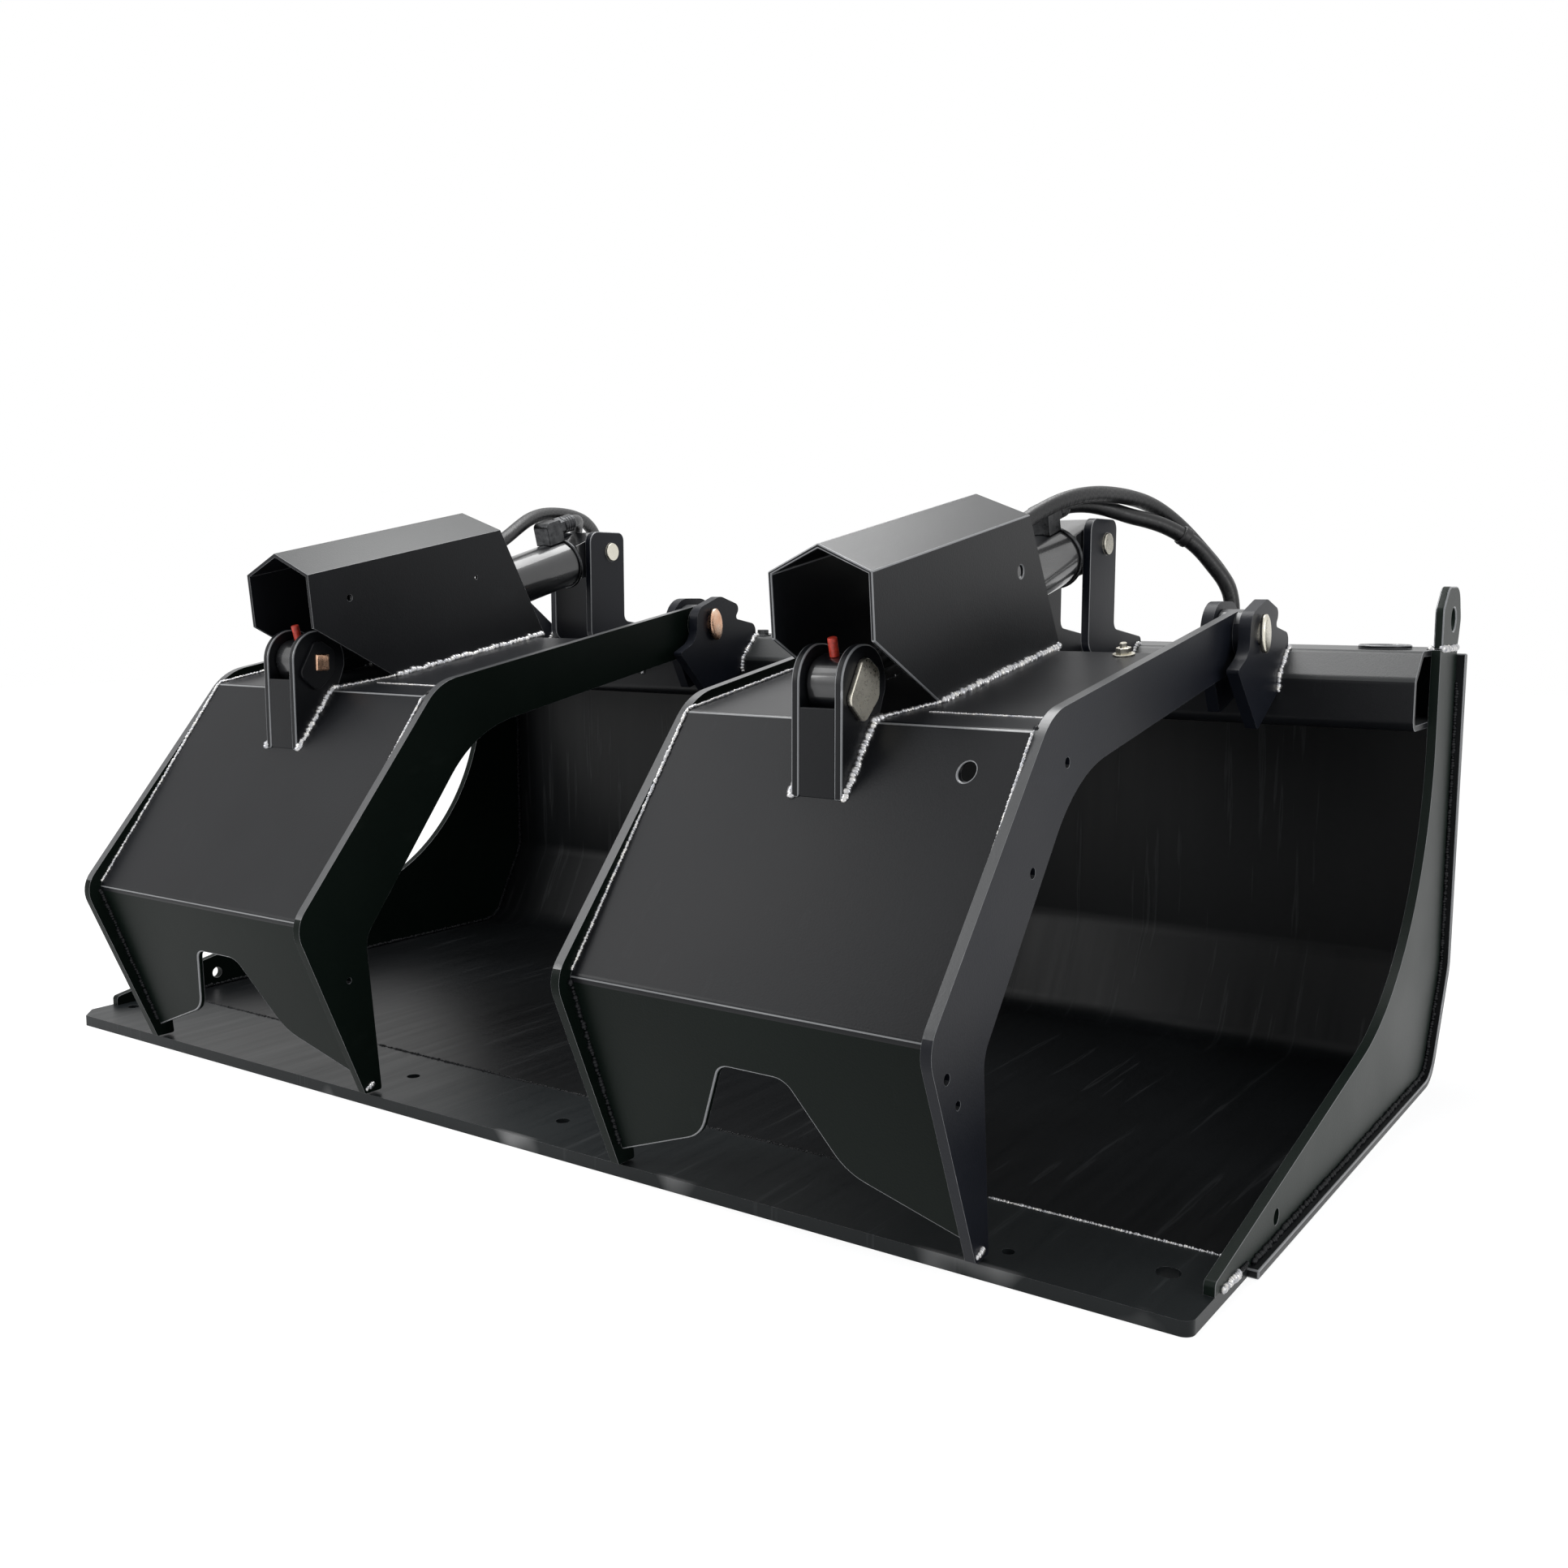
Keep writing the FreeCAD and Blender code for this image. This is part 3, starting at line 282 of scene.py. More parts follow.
# %% Worn floor and cutting edge
def worn_steel(name, tone, dust, bare_from, bare_to):
    """Powder coat that is worn to bright steel between two places behind the nose."""
    finish, tree, shader, coords = start_finish(name, shine=0.17)
    cloud = noise(tree, coords, 4, 3)
    streak = noise(tree, coords, 2.5, 9, stretch=(26, 1.2, 1.2))
    split = tree.nodes.new("ShaderNodeSeparateXYZ")
    tree.links.new(coords, split.inputs[0])
    place = tree.nodes.new("ShaderNodeMapRange")
    place.inputs["From Min"].default_value = bare_to
    place.inputs["From Max"].default_value = bare_from
    tree.links.new(split.outputs["Y"], place.inputs["Value"])
    ragged = tree.nodes.new("ShaderNodeMath")
    ragged.operation = "MULTIPLY"
    tree.links.new(place.outputs[0], ragged.inputs[0])
    tree.links.new(ramp(tree, cloud, [(0.56, (0,)), (0.66, (0.7,))]), ragged.inputs[1])
    colour = blend_by(tree, ramp(tree, cloud, [(0.3, (0,)), (0.75, (1,))]), tone, dust)
    lines = ramp(tree, streak, [(0.0, (0,)), (0.62, (0,)), (0.66, (0.12,)), (0.70, (0,))])
    colour = blend_by(tree, lines, colour, (0.12, 0.125, 0.13))
    colour = blend_by(tree, ragged.outputs[0], colour, (0.42, 0.42, 0.42))
    tree.links.new(colour, shader.inputs["Base Color"])
    tree.links.new(ragged.outputs[0], shader.inputs["Metallic"])
    tree.links.new(ramp(tree, streak, [(0.3, (0.32,)), (0.7, (0.40,))]), shader.inputs["Roughness"])
    peel = noise(tree, coords, 420, 3)
    bump(tree, shader, [(streak, 0.0002, 0.2), (peel, 0.0002, 0.4)])
    return finish


floor_coat = worn_steel("worn_floor_coat", (0.004, 0.0045, 0.005), (0.007, 0.008, 0.009), -0.91, -0.9)
edge_coat = worn_steel("worn_edge_coat", (0.009, 0.011, 0.012), (0.015, 0.018, 0.019),
                       -0.507, -0.500)
print("two worn coats")

# %% [markdown]
# The small metals: hard chrome on the rods, zinc on the pins with its pale yellow cast, one
# set of pins with a copper look, black zinc on the hose fittings, and bare weld metal that
# was never painted, with the blue and straw tints of its heat.

# %% Metals
def metal(name, colours, rough, scale=60, grain=None, peel=0.00003, dents=0.00004):
    """A metal whose colour wanders between its stops, with a fine grain."""
    finish, tree, shader, coords = start_finish(name, metallic=1.0)
    wander = noise(tree, coords, scale, 4)
    tree.links.new(ramp(tree, wander, colours), shader.inputs["Base Color"])
    lines = noise(tree, coords, 300, 2, stretch=grain or (1, 1, 1))
    low, high = rough
    tree.links.new(ramp(tree, lines, [(0.3, (low,)), (0.7, (high,))]), shader.inputs["Roughness"])
    bump(tree, shader, [(lines, peel, 0.4), (wander, dents, 0.25)])
    return finish


chrome = metal("rod_chrome", [(0.3, (0.66, 0.67, 0.69)), (0.7, (0.78, 0.79, 0.80))], (0.05, 0.12),
               9, (0.2, 6, 0.2), 0.00001, 0.00001)
zinc = metal("pin_zinc", [(0.3, (0.66, 0.63, 0.54)), (0.6, (0.74, 0.71, 0.62)),
                          (0.8, (0.62, 0.56, 0.45))],
             (0.25, 0.36), 40, peel=0.000003, dents=0.00001)
copper = metal("pin_copper", [(0.3, (0.60, 0.34, 0.22)), (0.55, (0.72, 0.45, 0.31)),
                              (0.75, (0.82, 0.62, 0.48))],
               (0.22, 0.34), 40, peel=0.000003, dents=0.00001)
black_zinc = metal("fitting_black_zinc",
                   [(0.3, (0.035, 0.036, 0.038)), (0.7, (0.085, 0.087, 0.09))],
                   (0.25, 0.4), 90)
weld_metal = metal("bare_weld", [(0.28, (0.30, 0.31, 0.34)), (0.5, (0.54, 0.54, 0.55)),
                                 (0.72, (0.74, 0.72, 0.68))],
                   (0.24, 0.46), 160, peel=0.0003, dents=0.0003)
print("five metals")

# %% [markdown]
# The cylinders are painted with a smoother, glossier enamel that picks up fine dust and
# scuffs. The hoses are matt rubber with the faint wrap of the cloth they were cured in,
# which turns round them, so that pattern follows the hose's own unrolled surface. The
# grease caps are thin red plastic.

# %% Enamel, rubber and plastic
def enamel(name, tone, dust):
    """Glossy cylinder enamel with dust and short scuffs."""
    finish, tree, shader, coords = start_finish(name, coat=0.8, coat_rough=0.08)
    cloud = noise(tree, coords, 16, 5)
    scuffs = noise(tree, coords, 24, 9, stretch=(1, 0.35, 1))
    marks = ramp(tree, scuffs, [(0.0, (0,)), (0.61, (0,)), (0.66, (0.8,)), (0.7, (0.1,))])
    colour = blend_by(tree, ramp(tree, cloud, [(0.35, (0,)), (0.8, (1,))]), tone, dust)
    colour = blend_by(tree, marks, colour, (0.06, 0.06, 0.065))
    tree.links.new(colour, shader.inputs["Base Color"])
    tree.links.new(ramp(tree, scuffs, [(0.3, (0.22,)), (0.75, (0.5,))]), shader.inputs["Roughness"])
    bump(tree, shader, [(cloud, 0.0006, 0.2), (noise(tree, coords, 500, 2), 0.0001, 0.3)])
    return finish


def rubber(name, tone, rough, wrap):
    """Matt rubber, with the ridges of its curing wrap where it has any."""
    finish, tree, shader, coords = start_finish(name)
    grain = noise(tree, coords, 260, 3)
    colour = blend_by(tree, ramp(tree, grain, [(0.35, (0,)), (0.75, (1,))]), tone,
                      tuple(1.9 * part + 0.002 for part in tone))
    tree.links.new(colour, shader.inputs["Base Color"])
    sheen = ramp(tree, grain, [(0.3, (rough - 0.06,)), (0.7, (rough + 0.08,))])
    tree.links.new(sheen, shader.inputs["Roughness"])
    layers = [(grain, 0.0002, 0.4)]
    if wrap:
        run = tree.nodes.new("ShaderNodeUVMap")
        run.uv_map = "run"
        wave = tree.nodes.new("ShaderNodeTexWave")
        wave.wave_type = "BANDS"
        wave.bands_direction = "DIAGONAL"
        wave.inputs["Scale"].default_value = 90
        wave.inputs["Distortion"].default_value = 0.6
        tree.links.new(run.outputs["UV"], wave.inputs["Vector"])
        layers.append((wave.outputs["Fac"], 0.0004, 0.35))
    bump(tree, shader, layers)
    return finish


cylinder_enamel = enamel("cylinder_enamel", (0.005, 0.0055, 0.007), (0.012, 0.0125, 0.014))
hose_rubber = rubber("hose_rubber", (0.005, 0.0052, 0.006), 0.40, True)
boot_rubber = rubber("boot_rubber", (0.007, 0.007, 0.008), 0.46, False)
red_plastic = rubber("grease_cap_red", (0.42, 0.035, 0.02), 0.35, False)
print("enamel, two rubbers, red plastic")

# %% [markdown]
# Sawn and bent steel has no razor edges: a grinder and the paint round them by a
# millimetre, and that round catches the light as a thin bright line. The imported meshes are
# loose triangles, so a Weld modifier joins them and a planar Decimate makes whole faces of
# them first, then a Bevel rounds every edge that turns by more than 35 degrees. The round
# takes a second, lighter finish: partly the wear of a coat that is thinnest there, partly a
# painted highlight. Weighted normals keep the flat faces looking flat. A claw's cover is bent
# twice, and each bend gets a thin pale line of its own, a painted highlight; below the knee
# the cover takes a darker green tone, painted shade where it faces the dark ground. Upward
# faces of the rail and hoods and the top rims of the claw plates take lighter tones, painted
# light and painted highlight.

# %% Round the edges of the imported pieces
def soften(piece, width, worn=None):
    """Round a piece's edges without touching its mesh, and give the rounds a lighter finish if asked,
    partly wear and partly painted highlight.
    """
    weld = piece.modifiers.new("Join", "WELD")
    weld.merge_threshold = 0.00002
    whole = piece.modifiers.new("Whole faces", "DECIMATE")
    whole.decimate_type = "DISSOLVE"
    whole.angle_limit = math.radians(0.4)
    bevel = piece.modifiers.new("Round", "BEVEL")
    bevel.width = width
    bevel.segments = 2
    bevel.limit_method = "ANGLE"
    bevel.angle_limit = math.radians(35)
    if worn:
        piece.data.materials.append(worn)
        bevel.material = len(piece.data.materials) - 1
    for face in piece.data.polygons:
        face.use_smooth = True
    flat = piece.modifiers.new("Flat faces", "WEIGHTED_NORMAL")
    flat.keep_sharp = True
    flat.weight = 80


def paint(name, finish, width=0.0012, worn=None):
    """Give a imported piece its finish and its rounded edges."""
    piece = nodes[name]
    piece.data.materials.clear()
    piece.data.materials.append(finish)
    soften(piece, width, worn)


# Every rounded edge that takes the light grey edge finish gets partly wear and partly a painted
# highlight.
PAINTED = {
    "bucket_shell": (floor_coat, worn_and_highlight_coat), "cutting_edge": (edge_coat, worn_and_highlight_coat),
    "top_rail": (coat, worn_and_highlight_coat), "rail_collars": (coat, worn_and_highlight_coat),
    "attach_plate": (coat, worn_and_highlight_coat), "attach_ribs": (coat, worn_and_highlight_coat),
    # Painted shade on the left side plate, painted light on the right side plate and lug.
    "left_side_plate": (painted_shade_green_coat, worn_and_highlight_coat), "right_side_plate": (painted_light_side_coat, worn_and_highlight_coat),
    "left_lifting_lug": (coat, worn_and_highlight_coat), "right_lifting_lug": (painted_light_side_coat, worn_and_highlight_coat),
}
for side in CLAWS:
    PAINTED.update({
        # Painted shade: the green tone on the claw plates, and the blue tone on the right claw's right
        # plate, the ears and the masts.
        side + "_claw_left_plate": (painted_shade_green_coat, worn_and_highlight_coat),
        side + "_claw_right_plate": (painted_shade_green_coat if side == "left" else painted_shade_blue_coat, worn_and_highlight_coat),
        side + "_claw_cover": (coat, worn_and_highlight_coat), side + "_hood": (coat, worn_and_highlight_coat),
        side + "_rod_lugs": (coat, worn_and_highlight_coat), side + "_lug_floor": (coat, None),
        side + "_hinge_ears": (painted_shade_blue_coat, worn_and_highlight_coat), side + "_mast": (painted_shade_blue_coat, worn_and_highlight_coat),
        side + "_base_eye": (cylinder_enamel, None), side + "_barrel": (cylinder_enamel, None),
        side + "_gland": (cylinder_enamel, None), side + "_rod_eye": (cylinder_enamel, None),
        side + "_ports": (black_zinc, None), side + "_hose_fittings": (black_zinc, None),
        side + "_rod": (chrome, None), side + "_piston": (black_zinc, None),
        side + "_mast_pin": (zinc, None), side + "_grease_cap": (red_plastic, None),
        side + "_hinge_pins": (copper if side == "left" else zinc, None),
        side + "_rod_pin": (coat if side == "left" else zinc, None),
    })
for name, (finish, worn) in PAINTED.items():
    paint(name, finish, width=0.0018 if worn else 0.0012, worn=worn)


def tint(name, finish, wanted):
    """Give another finish to the faces of a painted piece that pass a test."""
    data = nodes[name].data
    data.materials.append(finish)
    for face in data.polygons:
        if wanted(face):
            face.material_index = len(data.materials) - 1


def bent(face):
    """Whether a face of the cover lies in the middle of one of its two bends."""
    rise = face.normal.z
    return face.normal.y < -0.2 and (0.74 < rise < 0.88 or 0.02 < rise < 0.22)


# Painted light: the upward faces of the rail and hoods take the lighter roof tone.
tint("top_rail", painted_light_roof_coat, lambda face: face.normal.z > 0.3)
for side in CLAWS:
    tint(side + "_hood", painted_light_roof_coat, lambda face: face.normal.z > 0.3)
    for plate in ("_claw_left_plate", "_claw_right_plate"):
        # Painted highlight: the top rims of both claw plates take the lighter rim tone.
        tint(side + plate, painted_highlight_rim_coat, lambda face: face.normal.z > 0.4)
    # Painted shade: the cover's faces below 0.25 m, which face the dark ground, take the green tone.
    tint(side + "_claw_cover", painted_shade_green_coat, lambda face: face.center.z < 0.25)
    # Painted highlight: the faces in the cover's bends take the pale bend tone.
    tint(side + "_claw_cover", painted_bend_highlight_coat, bent)
print(len(PAINTED), "packed pieces painted")

# %% [markdown]
# Each cylinder is fed by two hoses that arch over its mast and drop into fittings on the
# rail. Their line is a smooth NURBS curve through the drawing's route. The curve is turned
# into points, and a ring of edges is pushed from point to point to make the tube.

# %% Hose routes
ROD_HOSE = [
    (456, -166.9, 703.9), (456, -128.3, 714.3), (456, -89.6, 725.8), (456.6, -51.7, 739.2),
    (459.5, -14.4, 754.4), (465.5, 22.1, 771), (475, 58.1, 788), (486.3, 94.4, 802.4),
    (497, 131.6, 811.4), (506.3, 170, 815.6), (513.6, 209.1, 815.9), (522.7, 248.3, 813.5),
    (533.7, 286.4, 806.8), (546.7, 321.6, 792.5), (561.8, 352.2, 771.3), (580.6, 374.5, 743.7),
    (601.8, 391.5, 714), (622, 400, 679.4), (622, 400, 639.3),
]
BASE_HOSE = [
    (456, 126.8, 789.2), (456, 155.1, 796.8), (463.9, 183.6, 802.6), (480.3, 208.4, 803),
    (500.8, 229.2, 797), (521.1, 249.8, 787.9), (541.5, 271, 782.1), (560.2, 292.6, 773.4),
    (578.5, 312.1, 760), (595.7, 329.2, 742.5), (610.9, 341.7, 720), (626.6, 352.8, 697),
    (636, 358, 669.2), (636, 358, 639.3),
]
HOSE_RADIUS = 0.011


def smooth_line(name, points):
    """The points of a NURBS curve along a route, in order, in metres."""
    curve = bpy.data.curves.new(name + "_line", "CURVE")
    curve.dimensions = "3D"
    curve.resolution_u = 6
    spline = curve.splines.new("NURBS")
    spline.points.add(len(points) - 1)
    for control, place in zip(spline.points, points):
        control.co = (*place, 1)
    spline.order_u = 3
    spline.use_endpoint_u = True
    holder = bpy.data.objects.new(name + "_line", curve)
    line = bpy.data.meshes.new_from_object(holder)
    places = [v.co.copy() for v in line.vertices]
    bpy.data.objects.remove(holder)
    return places


# %% A tube along a line
def add_piece(name, mesh, finish, body=None, smooth=True):
    """Turn a finished bmesh into a scene object that rides on a body."""
    data = bpy.data.meshes.new(name)
    mesh.to_mesh(data)
    mesh.free()
    data.materials.append(finish)
    for face in data.polygons:
        face.use_smooth = smooth
    piece = bpy.data.objects.new(name, data)
    bpy.context.scene.collection.objects.link(piece)
    if body:
        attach(piece, body)
    return piece


def facing(place, direction, lean=0.0):
    """The matrix that stands a piece's own Z along a direction at a place."""
    turn = Vector(direction).to_track_quat("Z", "Y").to_matrix().to_4x4()
    return Matrix.Translation(place) @ turn @ Matrix.Rotation(lean, 4, "Z")


def tube(line, radius, sides=20):
    """A round tube pushed along a line, with its unrolled surface as UVs in metres."""
    mesh = bmesh.new()
    heading = (line[1] - line[0]).normalized()
    stand = facing(line[0], heading)
    ring = bmesh.ops.create_circle(mesh, segments=sides, radius=radius, matrix=stand)["verts"]
    unrolled = mesh.loops.layers.uv.new("run")
    edges = mesh.edges[:]
    last, gone = line[0], 0.0
    for number, place in enumerate(line[1:], start=1):
        after = line[min(number + 1, len(line) - 1)]
        ahead = (after - last).normalized()
        made = bmesh.ops.extrude_edge_only(mesh, edges=edges)["geom"]
        ring = [g for g in made if isinstance(g, bmesh.types.BMVert)]
        edges = [g for g in made if isinstance(g, bmesh.types.BMEdge)]
        faces = [g for g in made if isinstance(g, bmesh.types.BMFace)]
        turn = heading.rotation_difference(ahead).to_matrix().to_4x4()
        move = Matrix.Translation(place) @ turn @ Matrix.Translation(-last)
        bmesh.ops.transform(mesh, matrix=move, verts=ring)
        step = (place - last).length
        fresh = set(ring)
        for which, face in enumerate(faces):
            for loop in face.loops:
                far = loop.vert in fresh
                side = which + (1 if loop.link_loop_next.vert in fresh == far else 0)
                loop[unrolled].uv = (gone + (step if far else 0), radius * math.tau * side / sides)
        heading, last, gone = ahead, place, gone + step
    bmesh.ops.holes_fill(mesh, edges=[e for e in mesh.edges if e.is_boundary], sides=0)
    bmesh.ops.recalc_face_normals(mesh, faces=mesh.faces)
    return mesh


# %% The four hoses
def route(points, mirror):
    """The route's points in metres, turned over to the left side where mirror is -1."""
    return [Vector((mirror * x, y, z)) / 1000 for x, y, z in points]


hose_lines = {}
for side, middle in CLAWS.items():
    mirror = 1 if middle > 0 else -1
    for which, points, bend_from in (("rod", ROD_HOSE, 5), ("base", BASE_HOSE, 1)):
        places = route(points, mirror)
        line = smooth_line("%s_%s_hose" % (side, which), places)
        hose_lines[side, which] = line
        hose = add_piece("%s_%s_hose_tube" % (side, which), tube(line, HOSE_RADIUS), hose_rubber)
        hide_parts("%s_%s_hose" % (side, which))
        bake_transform(hose)

# %% [markdown]
# A hose ends in a crimped steel sleeve and a hexagon nut that turns on the port. Both are
# round work, so each is a half outline spun about its own axis, as a lathe would cut it. The
# nut is a six-sided circle pushed up into a prism with its rims chamfered.

# %% Round and hexagonal pieces
def spun(mesh, outline, stand, steps=24):
    """Add a round solid from its half outline of (radius, height) in millimetres."""
    verts = [mesh.verts.new((radius / 1000, 0, height / 1000)) for radius, height in outline]
    edges = [mesh.edges.new(pair) for pair in zip(verts, verts[1:])]
    made = bmesh.ops.spin(mesh, geom=verts + edges, cent=(0, 0, 0), axis=(0, 0, 1),
                          angle=math.tau, steps=steps, use_merge=True)
    new = {v for v in verts if v.is_valid}
    for part in made["geom_last"]:
        if isinstance(part, bmesh.types.BMVert) and part.is_valid:
            new.add(part)
    grow = list(new)
    while grow:
        vert = grow.pop()
        for edge in vert.link_edges:
            other = edge.other_vert(vert)
            if other not in new:
                new.add(other)
                grow.append(other)
    bmesh.ops.remove_doubles(mesh, verts=list(new), dist=0.00002)
    new = [v for v in new if v.is_valid]
    bmesh.ops.transform(mesh, matrix=stand, verts=new)
    return new


def hexagon(mesh, across_flats, height, stand, lift=0.0, chamfer=0.0009):
    """Add a hexagonal prism standing on a face, with chamfered rims."""
    start = Matrix.Translation((0, 0, lift / 1000))
    radius = across_flats / 1000 / math.sqrt(3)
    verts = bmesh.ops.create_circle(mesh, segments=6, radius=radius, cap_ends=True,
                                    matrix=start)["verts"]
    base = verts[0].link_faces[0]
    made = bmesh.ops.extrude_face_region(mesh, geom=[base])["geom"]
    top = [g for g in made if isinstance(g, bmesh.types.BMVert)]
    bmesh.ops.translate(mesh, vec=(0, 0, height / 1000), verts=top)
    rim = {e for v in top + verts for e in v.link_edges}
    made = bmesh.ops.bevel(mesh, geom=list(rim), offset=chamfer, segments=2, profile=0.5,
                           affect="EDGES", material=-1)
    new = {v for f in made["faces"] for v in f.verts} | {v for v in top + verts if v.is_valid}
    for face in {f for v in new for f in v.link_faces}:
        new.update(face.verts)
    bmesh.ops.transform(mesh, matrix=stand, verts=list(new))


# %% Hose ends at the ports
SLEEVE = [(0, 0), (9.5, 0), (9.5, 12), (14, 13), (14.6, 15), (14.6, 19), (13.4, 20), (14.6, 21),
          (14.6, 25), (13.4, 26), (14.6, 27), (14.6, 31), (13.4, 32), (14.6, 33), (14.6, 38),
          (13.6, 40), (11.2, 40), (11.2, 38), (0, 38)]


def finish_mesh(mesh):
    """Turn every face of a mesh outwards."""
    bmesh.ops.recalc_face_normals(mesh, faces=mesh.faces)
    return mesh


for side, middle in CLAWS.items():
    mesh = bmesh.new()
    for which in ("rod", "base"):
        line = hose_lines[side, which]
        stand = facing(line[0], line[1] - line[0])
        hexagon(mesh, 27, 13, stand, lift=-1)
        spun(mesh, SLEEVE, stand)
    ends = add_piece(side + "_hose_ends", finish_mesh(mesh), black_zinc, side + "_cylinder",
                     smooth=False)
print("hose ends at the ports")

# %% [markdown]
# On the rail each hose goes down into a soft domed boot that keeps water out of the fitting
# below it. The boot is spun from its half outline too, fat at its foot and snug at the
# hose, with two moulded lips.

# %% Rubber boots on the rail
BOOT = [(0, 0), (21, 0), (22.5, 2), (22.5, 5), (20.5, 7), (21, 10), (20.5, 18), (18.5, 26),
        (15.5, 32), (13.2, 36), (13.6, 38), (13.6, 42), (12.6, 43), (11.0, 43), (0, 42.5)]
for side, middle in CLAWS.items():
    mesh = bmesh.new()
    for which in ("rod", "base"):
        foot = hose_lines[side, which][-1].copy()
        foot.z = 0.6052
        spun(mesh, BOOT, Matrix.Translation(foot), steps=32)
    boots = add_piece(side + "_hose_boots", finish_mesh(mesh), boot_rubber, "bucket")
print("boots on the rail")

# %% [markdown]
# Weld beads are what make a fabricated bucket look real. A bead is a row of small
# overlapping scales, each a puddle that froze before the next was laid, so each scale here
# is a squashed ball with its own small error in size and place. Two kinds are laid: bare
# ones, which the photograph shows bright, and painted ones in the quieter corners. A long
# bead is built in short lengths, because one mesh that grows scale by scale gets slow.

# %% Laying a weld bead
SHORT_LENGTH = 40
chance = random.Random(7)


def walk(points, pitch):
    """Places and headings a pitch apart along straight runs between points."""
    for start, end in zip(points, points[1:]):
        run = end - start
        count = max(1, round(run.length / pitch))
        for i in range(count):
            yield start + run * (i / count), run.normalized()


def bead(mesh, points, radius, pitch, sides):
    """Overlapping scales of weld metal along a run of points given in metres."""
    places = list(walk(points, pitch * radius))
    for first in range(0, len(places), SHORT_LENGTH):
        short = bmesh.new()
        for place, heading in places[first:first + SHORT_LENGTH]:
            grow = radius * (1 + 0.3 * chance.uniform(-1, 1))
            shift = Vector([chance.uniform(-1, 1) for _ in range(3)]) * 0.2 * radius
            stand = facing(place + shift, heading, chance.uniform(0, 3))
            shape = stand @ Matrix.Diagonal((grow, grow, 0.72 * grow, 1))
            bmesh.ops.create_uvsphere(short, u_segments=sides, v_segments=sides // 2 + 1, radius=1,
                                      matrix=shape)
        part = bpy.data.meshes.new("short_bead")
        short.to_mesh(part)
        short.free()
        mesh.from_mesh(part)
        bpy.data.meshes.remove(part)


def laid(name, body, finish, runs, pitch=0.48, sides=8):
    """One piece of weld beads from its (points, radius in millimetres) runs."""
    mesh = bmesh.new()
    for points, radius in runs:
        bead(mesh, points, radius / 1000, pitch, sides)
    piece = add_piece(name, mesh, finish, body)
    print(name, len(piece.data.polygons), "faces")
    return piece


# %% Bright beads on the claws
for side, middle in CLAWS.items():
    runs = []
    for out in (-1, 1):
        across = middle + out * 68
        runs.append(([spot(across, 204, on_top_panel(204, 1)), spot(across, 512, on_top_panel(512, 1))],
                     5.6))
        across = middle + out * 34.5
        runs.append(([spot(across, 47, on_front_panel(47, -1)), spot(across, 104, on_front_panel(104, 0)),
                      spot(across, 110, on_top_panel(110, 1)),
                      spot(across, 122, on_top_panel(122, 1))], 5.6))
    across = middle - 227
    runs.append(([spot(across, 487, on_top_panel(487, 1)), spot(across, 110, on_top_panel(110, 1)),
                  spot(across, 104, on_front_panel(104, 1)),
                  spot(across, -102, on_front_panel(-102, 1))], 2.4))
    across = middle + 227
    runs.append(([spot(across, 104, on_front_panel(104, 1)),
                  spot(across, -102, on_front_panel(-102, 1))], 1.8))
    runs.append(([spot(middle + 36, 124, on_top_panel(124, 1)),
                  spot(middle + 66, 200, on_top_panel(200, 1))], 3))
    runs.append(([spot(middle + 76, 158, on_top_panel(158)),
                  spot(middle + 222, 158, on_top_panel(158))], 1.2))
    corners = [v.co for v in nodes[side + "_claw_right_plate"].data.vertices]
    ground = min(corner.z for corner in corners)
    toe = [corner for corner in corners if corner.z < ground + 0.004]
    wall = max(corner.x for corner in toe)
    front = min(corner.y for corner in toe)
    runs.append(([Vector((wall, front + 0.004, ground + 0.007)),
                  Vector((wall, front + 0.016, ground + 0.012))], 3.6))
    laid(side + "_claw_bright_beads", side + "_claw", weld_metal, runs)

# %% Painted beads on the claws
for side, middle in CLAWS.items():
    runs = []
    runs.append(([spot(middle + 227, 487, on_top_panel(487)),
                  spot(middle + 227, 110, on_top_panel(110))], 3.6))
    for out in (-1, 1):
        runs.append(([spot(middle + out * 227, -104, 256), spot(middle + out * 227, -24, 44)], 3.6))
    laid(side + "_claw_painted_beads", side + "_claw", coat, runs, pitch=1.1, sides=6)

# %% Bright beads on the bucket
FOOT = [(784.5, 548), (784.5, 567), (821, 605.5), (832, 605.5)]
runs = []
for side, middle in CLAWS.items():
    for across in (middle - 269, middle + 269, middle - 199, middle + 199):
        runs.append(([spot(across, back, height) for back, height in FOOT], 4.4))
    for across in (middle - 48, middle + 48):
        runs.append(([spot(across, back, height) for back, height in [(784.5, 537)] + FOOT[1:]], 4.0))
for out in (-1, 1):
    runs.append(([spot(out * 914, 878, 606), spot(out * 914, 968, 606)], 4.6))
    runs.append(([spot(out * 901, 876, 606), spot(out * 901, 880, 606)], 4.6))
    runs.append(([spot(out * 916, 62, 17), spot(out * 916, 112, 17)], 4.2))
runs.append(([spot(625, 141, 15), spot(892, 141, 15)], 2.2))
laid("bucket_bright_beads", "bucket", weld_metal, runs)

